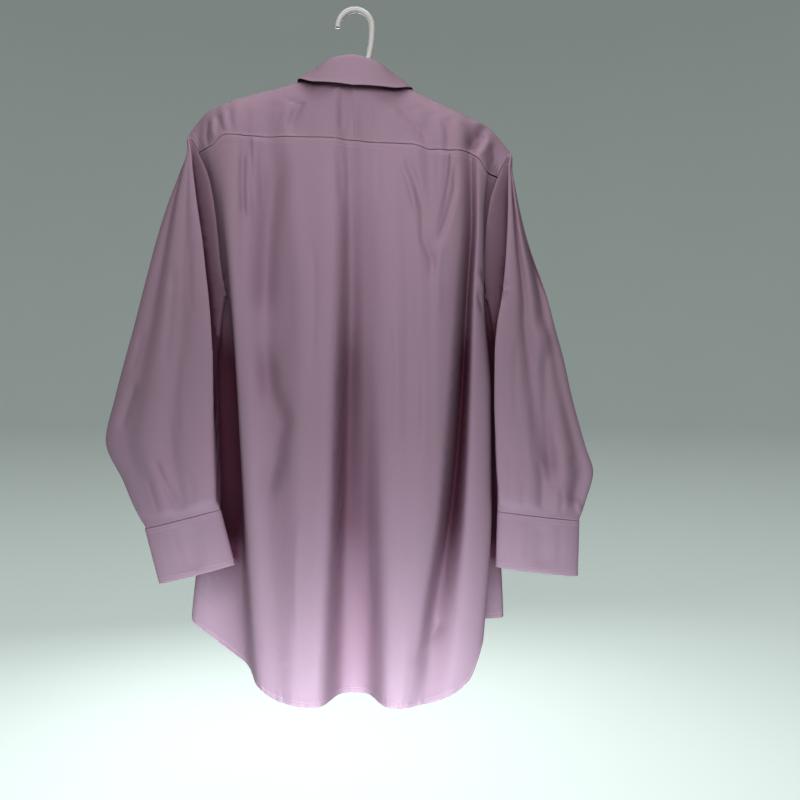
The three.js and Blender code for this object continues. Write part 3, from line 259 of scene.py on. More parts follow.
SLEEVE_RIGHT = [
    [-188, -188, -202, 8, -201.5, 9, -202.5, 8, -204, 2, -203, -4, 0, 0],
    [-208, -208, -197, 11, -197, 21, -199, 21, -203, 9, -202, -6, 0, 0],
    [-235, -235, -201, 8, -196, 26, -201, 26, -207, 12, -200, -7, 0, 0],
    [-270, -270, -203, 6, -195, 29, -205, 28, -214, 13, -204, -8, 0, 0],
    [-310, -310, -205, 5, -193, 31, -210, 29, -225, 13, -208, -9, 0, 0],
    [-350, -350, -207, 4, -190, 31, -216, 29, -239.5, 13, -212, -9, 0, 0],
    [-375, -375, -205, 5, -187, 31, -218, 29, -248, 12, -213, -9, -172, 2.4],
    [-410, -410, -198, 8, -181, 30, -220, 28, -257, 12, -219, -8, -178, 2],
    [-450, -450, -190, 13, -178.5, 28, -224, 28, -268, 12, -222, -7, -180, 3],
    [-500, -500, -183, 14, -178.5, 25, -229, 28, -279, 12, -228, -6, -180, 4],
    [-560, -562, -181, 15, -181, 25, -236, 27, -296, 12, -234, -5, -180, 6],
    [-590, -596, -182, 17, -182, 26, -240, 29, -306, 13, -238, -3, -181, 8],
    [-620, -630, -183, 19, -184, 27, -240, 30, -297, 15, -238, -1, -182, 10],
    [-646, -657.5, -183.2, 19, -184.5, 22.5, -235, 26.5, -287, 17, -234, 7.5, -183.5, 13],
]

# Soft folds of the sleeve faces: [part of the way out at top, at wrist, half width, depth at top, middle, wrist]
SLEEVE_FOLDS_LEFT = [
    [0.3, 0.42, 0.1, 0, -3, -5],
    [0.62, 0.6, 0.12, 1, 2, 1],
    [0.75, 0.8, 0.1, -1, -4, 0],
]

SLEEVE_FOLDS_RIGHT = [
    [0.45, 0.5, 0.1, -4, -7, -3],
    [0.7, 0.72, 0.12, 1, 3, 2],
    [0.85, 0.88, 0.07, 0, -2, -5],
]


def shoulder_height(x):
    return smooth(SHOULDER_LINE, x, 1)


def yoke_seam_height(x):
    return smooth(YOKE_SEAM, x, 1)


def armhole_of(left):
    return ARMHOLE_LEFT if left else ARMHOLE_RIGHT


def underarm_height(left):
    return armhole_of(left)[-1][0]


def armhole_point(left, z, is_back):
    """Plan point of the armhole seam at a height. is_back may be an array."""
    rows = armhole_of(left)
    back = np.stack([smooth(rows, z, 1), smooth(rows, z, 2)], -1)
    front = np.stack([smooth(rows, z, 3), smooth(rows, z, 4)], -1)
    return np.where(np.asarray(is_back)[..., None], back, front)


def side_point(left, z, is_back):
    columns = (1, 2) if left else (3, 4)
    below = np.stack([smooth(SIDE_SEAM, z, k) for k in columns], -1)
    above = armhole_point(left, z, np.full(np.shape(z), is_back))
    return np.where((z > underarm_height(left))[..., None], above, below)


# Rounded lips beside the side seams: way in, way out, height over which they start, share of the next fold
LIP_IN = 2.5
LIP_OUT = 4.5
LIP_RUN = 60
LIP_SHARE = 0.2


def lip_point(left, z, seam, following, is_back):
    """Rounded lip beside a side seam, which fades into the armhole above."""
    rounded = ease((underarm_height(left) - z) / LIP_RUN)[..., None]
    lip = seam + np.array([-LIP_IN if left else LIP_IN, LIP_OUT if is_back else -LIP_OUT])
    return lerp(lerp(seam, following, LIP_SHARE), lip, rounded)


def section_points(rows, count, z):
    return np.stack(
        [np.stack([smooth(rows, z, 1 + 2 * k), smooth(rows, z, 2 + 2 * k)], -1) for k in range(count)], -2
    )


def with_lips(points, z, is_back):
    left, right = side_point(True, z, is_back), side_point(False, z, is_back)
    return np.concatenate(
        [
            left[..., None, :],
            lip_point(True, z, left, points[..., 0, :], is_back)[..., None, :],
            points,
            lip_point(False, z, right, points[..., -1, :], is_back)[..., None, :],
            right[..., None, :],
        ],
        -2,
    )


# Heights where the soft folds' columns hold
FOLD_TOP = -180
FOLD_MIDDLE = -420
FOLD_END = -880


def three(top, middle, end, part):
    return smooth([[0, top], [0.5, middle], [1, end]], part, 1)


def fold_amount(folds, x, z):
    upper = clamp01((FOLD_TOP - z) / (FOLD_TOP - FOLD_MIDDLE)) * 0.5
    lower = 0.5 + 0.5 * clamp01((FOLD_MIDDLE - z) / (FOLD_MIDDLE - FOLD_END))
    part = np.where(z > FOLD_MIDDLE, upper, lower)
    total = 0.0
    for x_top, x_mid, x_end, half, top, mid, end in folds:
        centre = three(x_top, x_mid, x_end, part)
        total = total + three(top, mid, end, part) * bell((x - centre) / half)
    return total


# Pleats: width of the soft side and of the folded side, and height over which they start
PLEAT_RUN = 14
PLEAT_STEP = 1.7
PLEAT_START = 9


def pleat_amount(x, z):
    total = 0.0
    for x_top, x_end, z_end, depth in PLEATS:
        part = clamp01((FOLD_TOP - z) / (FOLD_TOP - z_end))
        line = lerp(x_top, x_end, part**2)
        run = np.where(np.abs(x) < np.abs(line), PLEAT_RUN, PLEAT_STEP)
        total = total + depth * (1 - part) * bell((x - line) / run)
    return total * ease((yoke_seam_height(x) - z) / PLEAT_START)


BACK_POINTS = 12
BACK_LAST = BACK_POINTS + 3
SETTLE_TURNS = 6


def back_point(u, z):
    points = with_lips(section_points(BACK_SECTIONS, BACK_POINTS, z), z, True)
    plan = curve_through(points, u)
    inner = ease(u - 1) * ease(BACK_LAST - 1 - u)
    x, y = plan[..., 0], plan[..., 1]
    return np.stack([x, y + inner * (fold_amount(BACK_FOLDS, x, z) + pleat_amount(x, z)), z], -1)


def back_top(u):
    """Height of the yoke seam over each place along the back."""
    z = np.full(np.shape(u), float(FOLD_TOP))
    for _ in range(SETTLE_TURNS):
        z = yoke_seam_height(back_point(u, z)[..., 0])
    return z


SEAM_PLACES = np.linspace(0, BACK_LAST, 481)
SEAM_LINE = back_point(SEAM_PLACES, back_top(SEAM_PLACES))
# The seam line runs back under itself in the side folds, so only its outermost run counts.
seam_x = np.minimum.accumulate(SEAM_LINE[:, 0])


def yoke_seam_depth(x):
    return np.interp(-x, -seam_x, SEAM_LINE[:, 1])


FRONT_POINTS = 5
FRONT_LAST = FRONT_POINTS + 3
NECK_CENTRE_Y = -8
NECK_HALF_WIDTH = 67
NECK_HALF_DEPTH = 50
TILT = 0.057


def neck_point(angle):
    folded = np.where(angle > 90, 180 - angle, angle)
    x = NECK_HALF_WIDTH * np.cos(angle * RADIAN)
    y = NECK_CENTRE_Y + NECK_HALF_DEPTH * np.sin(angle * RADIAN)
    return np.stack([x, y, smooth(NECK_SEAM, folded, 1) + TILT * x], -1)


FRONT_ROUND = 110
YOKE_FRONT_ANGLE = -45
# Depth of the shoulder in front of its line: in the middle, and from the start of the arm to its tip
MIDDLE_DEPTH = 27
ARM_DEPTH = 25
TIP_DEPTH = 12
ARM_START = 150
ARM_RUN = 56


def front_depth_at(x):
    side = np.abs(x)
    on_arm = lerp(ARM_DEPTH, TIP_DEPTH, clamp01((side - ARM_START) / ARM_RUN))
    return np.where(side > ARM_START, on_arm, MIDDLE_DEPTH)


def profile_point(x, angle):
    """The shoulder in profile: a quarter ellipse on each side of the shoulder line."""
    top = shoulder_height(x)
    sine, cosine = np.sin(np.abs(angle) * RADIAN), np.cos(angle * RADIAN)
    seam = yoke_seam_height(x)
    back = np.stack([x, yoke_seam_depth(x) * sine, seam + (top - seam) * cosine], -1)
    front = np.stack([x, -front_depth_at(x) * sine, top - FRONT_ROUND * (1 - cosine)], -1)
    return np.where((angle >= 0)[..., None], back, front)


# Yoke: angles round the neck and over the shoulder, and the parts of its length where they hold
NECK_RIDGE_ANGLE = 9.2
NECK_FRONT_ANGLE = -14
NECK_START = 0.3
NECK_START_ANGLE = 56
RIDGE = 2 / 3
FRONT_TURN = 8
YOKE_FRONT_DROP = 28
# Yoke creases: part of the length that they lean over, depth where they are full, how fast they start and end
CREASE_REACH = 0.55
CREASE_DEPTH = 22
CREASE_END = 12
CREASE_START = 6


def yoke_point(left, across, along):
    """across runs from the centre back to the armhole, along from the back seam over to the front."""
    across, along = np.broadcast_arrays(np.asarray(across, float), np.asarray(along, float))
    sign = 1 if left else -1
    on_centre = along < NECK_START
    to_ridge = (along - NECK_START) / (RIDGE - NECK_START)
    past = (along - RIDGE) / (1 - RIDGE)
    is_past = along > RIDGE
    around = np.where(
        is_past, lerp(NECK_RIDGE_ANGLE, NECK_FRONT_ANGLE, past), lerp(90, NECK_RIDGE_ANGLE, to_ridge)
    )
    neck_angle = np.where(on_centre, 90, around)
    neck_base = neck_point(neck_angle)
    inner_x = np.where(on_centre, 0, sign * neck_base[..., 0])
    at_centre = lerp(90, NECK_START_ANGLE, along / NECK_START)
    back_angle = np.where(on_centre, at_centre, lerp(NECK_START_ANGLE, 0, to_ridge))
    inner_angle = np.where(is_past, lerp(0, YOKE_FRONT_ANGLE + FRONT_TURN, past), back_angle)
    outer_angle = lerp(90, YOKE_FRONT_ANGLE, along)
    rows = armhole_of(left)
    tip = rows[0][0]
    over = lerp(rows[3][0], tip, np.cos(outer_angle * RADIAN))
    under = lerp(tip, tip - YOKE_FRONT_DROP, ease(outer_angle / YOKE_FRONT_ANGLE))
    edge_z = np.where(outer_angle >= 0, over, under)
    edge = armhole_point(left, edge_z, outer_angle >= 0)
    x = lerp(inner_x, edge[..., 0], across)
    base = profile_point(x, lerp(inner_angle, outer_angle, across))
    start = profile_point(inner_x, inner_angle)
    end = profile_point(edge[..., 0], outer_angle)
    neck_z = smooth(NECK_SEAM, neck_angle, 1) + TILT * inner_x
    centre_part = along / NECK_START
    wanted_centre = np.stack(
        [
            np.zeros_like(along),
            lerp(start[..., 1], neck_base[..., 1], ease(centre_part)),
            lerp(yoke_seam_height(0.0), neck_base[..., 2], centre_part),
        ],
        -1,
    )
    wanted_neck = np.stack([inner_x, neck_base[..., 1], neck_z], -1)
    wanted = np.where(on_centre[..., None], wanted_centre, wanted_neck)
    in_pull = ((1 - across) ** 3)[..., None]
    out_pull = (across**5)[..., None]
    edge_point = np.stack([edge[..., 0], edge[..., 1], edge_z], -1)
    point = base + in_pull * (wanted - start) + out_pull * (edge_point - end)
    part = clamp01(along / CREASE_REACH)
    fade = clamp01(point[..., 1] / CREASE_DEPTH) * ease((1 - across) * CREASE_END) * ease(along * CREASE_START)
    for x_top, x_seam, half, depth in YOKE_FOLDS:
        point[..., 1] += fade * depth * bell((point[..., 0] - lerp(x_seam, x_top, part)) / half)
    return point


EDGE_PLACES = np.linspace(0, 1, 181)
YOKE_EDGES = {left: yoke_point(left, EDGE_PLACES, 1.0) for left in (True, False)}
NECK_MARGIN = 2.5


def front_top(x):
    """Front neckline and shoulder seam over a place on the front."""
    side = np.abs(x)
    angle = -np.arccos(clamp01(side / NECK_HALF_WIDTH)) / RADIAN
    on_neck = neck_point(np.where(x > 0, angle, 180 - angle))
    on_yoke = np.empty_like(on_neck)
    for left in (True, False):
        line = YOKE_EDGES[left]
        places = np.abs(line[:, 0])
        here = (x > 0) == left
        for k in range(3):
            on_yoke[..., k] = np.where(here, np.interp(side, places, line[:, k]), on_yoke[..., k])
    return np.where((side < NECK_HALF_WIDTH - NECK_MARGIN)[..., None], on_neck, on_yoke)


# Fronts: height over which they settle from the shoulder seam, gap at that seam, turns taken to find its height
FRONT_SETTLE = 190
FRONT_GAP = 0.9
FRONT_TURNS = 8


def front_points(z):
    return with_lips(section_points(FRONT_SECTIONS, FRONT_POINTS, z), z, False)


def front_point(u, along):
    u, along = np.broadcast_arrays(np.asarray(u, float), np.asarray(along, float))
    top = np.zeros(u.shape + (3,))
    top[..., 2] = FOLD_TOP
    for _ in range(FRONT_TURNS):
        top = front_top(curve_through(front_points(top[..., 2]), u)[..., 0])
    z = lerp(top[..., 2] - FRONT_GAP, smooth(FRONT_HEM, u, 1), along)
    plan = curve_through(front_points(z), u)
    inner = ease(u - 1) * ease(FRONT_LAST - 1 - u)
    flat = plan[..., 1] + inner * fold_amount(FRONT_FOLDS, plan[..., 0], z)
    flat_top = curve_through(front_points(top[..., 2]), u)[..., 1]
    pull = (1 - clamp01((top[..., 2] - z) / FRONT_SETTLE)) ** 2
    return np.stack([plan[..., 0], flat + pull * (top[..., 1] - flat_top), z], -1)


# Collar stand: lean inwards all round and more at the sides, share of it front to back, lift off the neck seam
STAND_LEAN = 4
SIDE_LEAN = 15
SIDE_LEAN_REACH = 60
DEPTH_SHARE = 0.7
STAND_LIFT = 1.8


def stand_lean(folded):
    return STAND_LEAN + SIDE_LEAN * bell(folded / SIDE_LEAN_REACH)


def stand_point(angle, part):
    folded = np.where(angle > 90, 180 - angle, angle)
    base = neck_point(angle)
    height = smooth(STAND_HEIGHTS, folded, 1)
    inward = stand_lean(folded) * part
    return np.stack(
        [
            base[..., 0] - inward * np.cos(angle * RADIAN),
            base[..., 1] - inward * DEPTH_SHARE * np.sin(angle * RADIAN),
            base[..., 2] + STAND_LIFT + height * part,
        ],
        -1,
    )


# Collar fall: tilt, end of its roll, its curve, and the roll over the stand: [part, way out, rise]
FALL_TILT = 0.078
FALL_CURVE = 0.8
ROLL_END = 0.24
ROLL = [[0, -0.6, 2.3], [0.12, 2.6, 3.1], [ROLL_END, 4.6, 0.6]]
COLLAR_TIP = -76
POINTED_PART = -62


def fall_edge(angle, column):
    """Edge of the fall, with straight runs on both sides of the collar's points."""
    straight = np.interp(angle, [row[0] for row in FALL_EDGE], [row[column] for row in FALL_EDGE])
    return np.where(angle < POINTED_PART, straight, smooth(FALL_EDGE, angle, column))


def fall_point(angle, part):
    folded = np.where(angle > 90, 180 - angle, angle)
    top = stand_point(angle, 1.0)
    out = np.stack([np.cos(angle * RADIAN), np.sin(angle * RADIAN)], -1)
    edge_out = fall_edge(folded, 1) + stand_lean(folded)
    edge_z = fall_edge(folded, 2) + FALL_TILT * (top[..., 0] + out[..., 0] * edge_out)
    t = clamp01((part - ROLL_END) / (1 - ROLL_END))
    rolled = part <= ROLL_END
    away = np.where(rolled, smooth(ROLL, part, 1), lerp(ROLL[-1][1], edge_out, t**FALL_CURVE))
    z = np.where(rolled, top[..., 2] + smooth(ROLL, part, 2), lerp(top[..., 2] + ROLL[-1][2], edge_z, t))
    return np.stack([top[..., 0] + out[..., 0] * away, top[..., 1] + out[..., 1] * away, z], -1)


# Sleeves: row of the underarm, and how the edge lies at the armhole seam and laps over the body below the arm
SLEEVE_JOIN_ROW = 6
SLEEVE_SEAM = 0.5
SEAM_LIFT = 0.9
UNDERARM_LAP = 2.0
UNDERARM_LIFT = 1.0
UNDERARM_GAP = 0.6
# The face is the run between these index numbers. Its folds fade at the face's edges, the head and the wrist.
FACE_START = 2
FACE_END = 4
FACE_FADE = 3
HEAD_FADE = 4
WRIST_FADE = 0.08


def sleeve_point(left, level, u):
    level, u = np.broadcast_arrays(np.asarray(level, float), np.asarray(u, float))
    rows = SLEEVE_LEFT if left else SLEEVE_RIGHT
    numbered = [[k, *row] for k, row in enumerate(rows)]

    def at(column):
        return smooth(numbered, level, column + 1)

    inner_z, outer_z = at(0), at(1)
    points = np.stack([np.stack([at(2 + 2 * k), at(3 + 2 * k)], -1) for k in range(5)], -2)
    sign = 1 if left else -1
    is_open = (level < SLEEVE_JOIN_ROW)[..., None]
    lap = np.array([-sign * UNDERARM_LAP, UNDERARM_LIFT])
    joined = np.stack([at(12), at(13)], -1) + lap * (1 - ease(level - SLEEVE_JOIN_ROW))[..., None]
    under = np.array([rows[SLEEVE_JOIN_ROW][12], rows[SLEEVE_JOIN_ROW][13]], float) + lap
    near = ease(level - SLEEVE_JOIN_ROW + 1)[..., None]
    behind = armhole_point(left, inner_z, np.full(level.shape, True)) + [sign * SLEEVE_SEAM, SEAM_LIFT]
    before = armhole_point(left, inner_z, np.full(level.shape, False)) + [sign * SLEEVE_SEAM, -SEAM_LIFT]
    first = lerp(behind, under, near)
    last = lerp(before, under - [0, UNDERARM_GAP], near)
    first = np.where(is_open, first, joined)
    last = np.where(is_open, last, joined)
    every = np.concatenate([first[..., None, :], points, last[..., None, :]], -2)
    plan = curve_through(every, u)
    x, y = plan[..., 0], plan[..., 1]
    inner_x, outer_x = np.abs(every[..., 2, 0]), np.abs(every[..., 4, 0])
    out = clamp01((np.abs(x) - inner_x) / (outer_x - inner_x))
    z = lerp(inner_z, outer_z, out)
    down = level / (len(rows) - 1)
    on_face = ease((u - FACE_START) * FACE_FADE) * ease((FACE_END - u) * FACE_FADE)
    fold = 0.0
    for start, end, half, top, middle, wrist in SLEEVE_FOLDS_LEFT if left else SLEEVE_FOLDS_RIGHT:
        fold = fold + three(top, middle, wrist, down) * bell((out - lerp(start, end, down)) / half)
    at_cuff = ease((1 - down) / WRIST_FADE)
    return np.stack([x, y + on_face * fold * ease(down * HEAD_FADE) * at_cuff, z], -1)


# Cuffs: middle of the ring at its top and bottom edge, half width, half depth, and tilt of the edges
CUFF_LEFT = ([219, 17, -656.3], [200.5, 18, -725.5], 48, 9.5, -0.2548)
CUFF_RIGHT = ([-235.2, 17, -652.3], [-233, 18, -722], 52, 9.5, 0.113)
# Lap of the cuff's outer end: rise, start and run, and the turns that the cuff takes from its first place
CUFF_LAP = 2.4
LAP_START = 0.9
LAP_RUN = 0.06
CUFF_TURNS = 1.075
CUFF_FIRST_TURN = -0.16


def cuff_point(left, turn, part):
    turn, part = np.broadcast_arrays(np.asarray(turn, float), np.asarray(part, float))
    top, bottom, half_width, half_depth, tilt = CUFF_LEFT if left else CUFF_RIGHT
    grow = CUFF_LAP * ease((turn - LAP_START) / LAP_RUN)
    angle = (turn * CUFF_TURNS + CUFF_FIRST_TURN) * 2 * math.pi
    x = (1 if left else -1) * np.cos(angle) * (half_width + grow * 0.5)
    deep = np.sin(angle) * (half_depth + grow)
    middle = lerp(np.array(top, float), np.array(bottom, float), part[..., None])
    return np.stack([middle[..., 0] + x, middle[..., 1] + deep, middle[..., 2] + tilt * x], -1)


# Meshes
def normals_of(grid, join_from=None):
    left = np.concatenate([grid[:, :1], grid[:, :-1]], 1)
    right = np.concatenate([grid[:, 1:], grid[:, -1:]], 1)
    if join_from is not None:
        for column in (0, -1):
            left[join_from:, column] = grid[join_from:, -2]
            right[join_from:, column] = grid[join_from:, 1]
    up = np.concatenate([grid[:1], grid[:-1]])
    down = np.concatenate([grid[1:], grid[-1:]])
    across = np.cross(right - left, down - up)
    return across / (np.linalg.norm(across, axis=-1, keepdims=True) + 1e-9)


def mesh_object(name, points, faces, material, marks=None):
    """Makes an object from points in millimetres and a list of face index arrays."""
    mesh = bpy.data.meshes.new(name)
    mesh.from_pydata(np.asarray(points) * MM, [], [list(map(int, face)) for block in faces for face in block])
    mesh.polygons.foreach_set("use_smooth", np.ones(len(mesh.polygons), bool))
    for mark, values in (marks or {}).items():
        mesh.attributes.new(mark, "FLOAT", "POINT").data.foreach_set("value", np.asarray(values, np.float32))
    mesh.materials.append(material)
    mesh.update()
    piece = bpy.data.objects.new(name, mesh)
    bpy.context.scene.collection.objects.link(piece)
    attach(piece, "root")
    return piece


FAR = 1e3


def distance_from_edges(grid, join_from=None):
    """Distance along the cloth from each grid point to the nearest edge of the sheet."""
    down = np.linalg.norm(np.diff(grid, axis=0), axis=-1)
    across = np.linalg.norm(np.diff(grid, axis=1), axis=-1)
    zero_row, zero_column = np.zeros((1, grid.shape[1])), np.zeros((grid.shape[0], 1))
    from_top = np.concatenate([zero_row, np.cumsum(down, 0)])
    from_first = np.concatenate([zero_column, np.cumsum(across, 1)], 1)
    sides = np.minimum(from_first, from_first[:, -1:] - from_first)
    if join_from is not None:
        sides[join_from:] = FAR
    return np.minimum(np.minimum(from_top, from_top[-1:] - from_top), sides)


EDGE_SHADE = 4.0


def shell(name, grid, thickness, outward, join_from, material):
    """Thin closed shell of cloth with rounded edges. outward is 1 where right x down points out, else -1."""
    rows, cols, _ = grid.shape
    normals = normals_of(grid, join_from) * outward
    ids = np.arange(rows * cols).reshape(rows, cols)
    if join_from is not None:
        ids[join_from:, -1] = ids[join_from:, 0]
    away = np.zeros_like(grid)
    away[0] += unit(grid[0] - grid[1])
    away[-1] += unit(grid[-1] - grid[-2])
    open_rows = slice(0, rows if join_from is None else join_from)
    away[open_rows, 0] += unit(grid[open_rows, 0] - grid[open_rows, 1])
    away[open_rows, -1] += unit(grid[open_rows, -1] - grid[open_rows, -2])
    half = thickness / 2
    outer = (grid + normals * half).reshape(-1, 3)
    inner = (grid - normals * half).reshape(-1, 3)
    rim = (grid + unit(away) * half).reshape(-1, 3)
    count = rows * cols
    sheet_faces = np.stack([ids[:-1, :-1], ids[1:, :-1], ids[1:, 1:], ids[:-1, 1:]], -1).reshape(-1, 4)
    last_open = rows - 1 if join_from is None else join_from
    starts = [ids[:last_open, 0], ids[-1, :-1], ids[1 : last_open + 1, -1], ids[0, 1:]]
    ends = [ids[1 : last_open + 1, 0], ids[-1, 1:], ids[:last_open, -1], ids[0, :-1]]
    start, end = np.concatenate(starts), np.concatenate(ends)
    faces = [
        sheet_faces,
        sheet_faces[:, ::-1] + count,
        np.stack([end, start, start + 2 * count, end + 2 * count], -1),
        np.stack([end + 2 * count, start + 2 * count, start + count, end + count], -1),
    ]
    faces = np.concatenate(faces)
    if outward > 0:
        faces = faces[:, ::-1]
    points = np.concatenate([outer, inner, rim])
    near = bell(distance_from_edges(grid, join_from) / EDGE_SHADE).reshape(-1)
    seam = np.concatenate([near, near, np.ones(count)])
    used, compact = np.unique(faces, return_inverse=True)
    points, seam = points[used], seam[used]
    ways = [normals.reshape(-1, 3), -normals.reshape(-1, 3), unit(away).reshape(-1, 3)]
    facing = np.concatenate(ways)[used, 1]
    # Painted shade: how closed in each point is by the cloth around it, which the material turns into a darker
    # colour
    shade = np.where(facing > 0, openness(points, RELIEF_BEHIND, 1), openness(points, RELIEF_BEFORE, -1))
    shade = 1 - (1 - shade) * smooth(SHADE_SHARE, points[:, 2], 1)
    faces = compact.reshape(faces.shape)
    return mesh_object(name, points, [faces], material, {"seam": seam, "open": shade})


def unit(vectors):
    return vectors / (np.linalg.norm(vectors, axis=-1, keepdims=True) + 1e-9)


def spaced(count, fine_start=(), fine_end=(), length=100.0):
    """Places from 0 to 1 with extra ones at given distances from each end of a run of a given length."""
    places = set(np.round(np.linspace(0, 1, count), 6))
    places |= {round(d / length, 6) for d in fine_start}
    places |= {round(1 - d / length, 6) for d in fine_end}
    ordered = sorted(places)
    kept = [ordered[0]]
    for place in ordered[1:]:
        if place - kept[-1] > 0.25 / length:
            kept.append(place)
    return np.array(kept)


LINE_REACH = 40


def line_inside(grid, outward, edge, inset):
    """Points and outward directions of a line that runs beside an edge of a sheet, a distance inside it."""
    normals = normals_of(grid) * outward
    if edge in ("first", "last"):
        grid, normals = grid.transpose(1, 0, 2), normals.transpose(1, 0, 2)
    if edge in ("bottom", "last"):
        grid, normals = grid[::-1], normals[::-1]
    grid, normals = grid[:LINE_REACH], normals[:LINE_REACH]
    steps = np.linalg.norm(np.diff(grid, axis=0), axis=-1)
    travelled = np.concatenate([np.zeros((1, grid.shape[1])), np.cumsum(steps, 0)])
    line, out = [], []
    for k in range(grid.shape[1]):
        line.append([np.interp(inset, travelled[:, k], grid[:, k, axis]) for axis in range(3)])
        out.append([np.interp(inset, travelled[:, k], normals[:, k, axis]) for axis in range(3)])
    return np.array(line), unit(np.array(out))


STITCH_PITCH = 3.0
STITCH_LENGTH = 2.1
STITCH_RADIUS = 0.24
STITCH_HALF_STEP = 0.4
# A stitch is four rings: [place along it, size, drop]
STITCH_RINGS = ((-1, 0.25, 0.5), (-0.6, 1, 0.1), (0.6, 1, 0.1), (1, 0.25, 0.5))


def stitches(name, lines, lift, material):
    """Rows of thread stitches lying on the cloth. lines has (points, outward directions) of each row."""
    ring = np.array([[1, 0], [0, 1], [-1, 0], [0, -1]], float)
    every_point, every_face = [], []
    total = 0
    for line, out in lines:
        travelled = np.concatenate([[0], np.cumsum(np.linalg.norm(np.diff(line, axis=0), axis=-1))])
        middles = np.arange(STITCH_PITCH, travelled[-1] - STITCH_PITCH / 2, STITCH_PITCH)

        def at(places, values):
            return np.stack([np.interp(places, travelled, values[:, k]) for k in range(3)], -1)

        centre, normal = at(middles, line), unit(at(middles, out))
        tangent = unit(at(middles + STITCH_HALF_STEP, line) - at(middles - STITCH_HALF_STEP, line))
        side = unit(np.cross(tangent, normal))
        centre = centre + normal * lift
        for along, size, drop in STITCH_RINGS:
            middle = centre + tangent * (along * STITCH_LENGTH / 2) - normal * (drop * STITCH_RADIUS)
            for a, b in ring:
                every_point.append(middle + (side * a + normal * b) * (STITCH_RADIUS * size))
        count = len(middles)
        for station in range(3):
            for k in range(4):
                a, b = station * 4 + k, station * 4 + (k + 1) % 4
                corner = np.stack([np.full(count, v) for v in (a, b, b + 4, a + 4)], -1)
                every_face.append(total + corner * count + np.arange(count)[:, None])
        for ends in ((3, 2, 1, 0), (12, 13, 14, 15)):
            corner = np.stack([np.full(count, v) for v in ends], -1)
            every_face.append(total + corner * count + np.arange(count)[:, None])
        total += 16 * count
    return mesh_object(name, np.concatenate(every_point), [face[:, ::-1] for face in every_face], material)


def sweep(name, paths, radius, sides, material):
    """Round tubes along paths in one mesh. Each path is (points, whether it closes on itself)."""
    every_point, every_face = [], []
    total = 0
    turns = np.arange(sides) * 2 * math.pi / sides
    for path, closed in paths:
        path = np.asarray(path, float)
        count = len(path)
        if closed:
            before, after = np.roll(path, 1, 0), np.roll(path, -1, 0)
        else:
            before = path[np.maximum(np.arange(count) - 1, 0)]
            after = path[np.minimum(np.arange(count) + 1, count - 1)]
        along = unit(after - before)
        side = np.broadcast_to([0.0, 1.0, 0.0], along.shape)
        up = unit(np.cross(along, side))
        size = radius(np.linspace(0, 1, count))[:, None, None]
        rings = path[:, None] + size * (
            side[:, None] * np.cos(turns)[None, :, None] + up[:, None] * np.sin(turns)[None, :, None]
        )
        every_point.append(rings.reshape(-1, 3))
        ids = total + np.arange(count * sides).reshape(count, sides)
        following = np.roll(ids, -1, 0) if closed else ids[1:]
        current = ids if closed else ids[:-1]
        quads = np.stack([current, following, np.roll(following, -1, 1), np.roll(current, -1, 1)], -1)
        every_face.append(quads.reshape(-1, 4))
        if not closed:
            every_face.append(ids[:1])
            every_face.append(ids[-1:, ::-1])
        total += count * sides
    return mesh_object(name, np.concatenate(every_point), every_face, material)


# Materials
def new_material(name, colour, roughness):
    material = bpy.data.materials.new(name)
    material.use_nodes = True
    shader = material.node_tree.nodes["Principled BSDF"]
    shader.inputs["Base Color"].default_value = (*colour, 1)
    shader.inputs["Roughness"].default_value = roughness
    return material, material.node_tree.nodes, material.node_tree.links, shader


def stretched_noise(nodes, links, stretch, detail=2.0):
    """Noise in object space, stretched so that its grain runs along one way."""
    place = nodes.new("ShaderNodeTexCoord")
    mapping = nodes.new("ShaderNodeMapping")
    mapping.inputs["Scale"].default_value = stretch
    noise = nodes.new("ShaderNodeTexNoise")
    noise.inputs["Scale"].default_value = 1.0
    noise.inputs["Detail"].default_value = detail
    links.new(place.outputs["Object"], mapping.inputs["Vector"])
    links.new(mapping.outputs["Vector"], noise.inputs["Vector"])
    return noise.outputs["Fac"]


def math_node(nodes, links, operation, first, second):
    node = nodes.new("ShaderNodeMath")
    node.operation = operation
    for socket, value in zip(node.inputs, (first, second)):
        if isinstance(value, (int, float)):
            socket.default_value = value
        else:
            links.new(value, socket)
    return node.outputs[0]


def mixed_colour(nodes, links, factor, first, second):
    node = nodes.new("ShaderNodeMix")
    node.data_type = "RGBA"
    links.new(factor, node.inputs["Factor"])
    for socket, value in ((node.inputs["A"], first), (node.inputs["B"], second)):
        if isinstance(value, tuple):
            socket.default_value = (*value, 1)
        else:
            links.new(value, socket)
    return node.outputs["Result"]


LILAC_DARK = (0.36, 0.245, 0.315)
LILAC_LIGHT = (0.45, 0.32, 0.40)
LILAC_SEAM = (0.50, 0.365, 0.45)
# Painted shade: the colour that cloth deep in a fold is darkened to, and how open the places are where the
# painted shade starts and where it is full
LILAC_PAINTED_SHADE = (0.105, 0.02, 0.05)
OPEN_FULL = 0.97
OPEN_NONE = 0.40


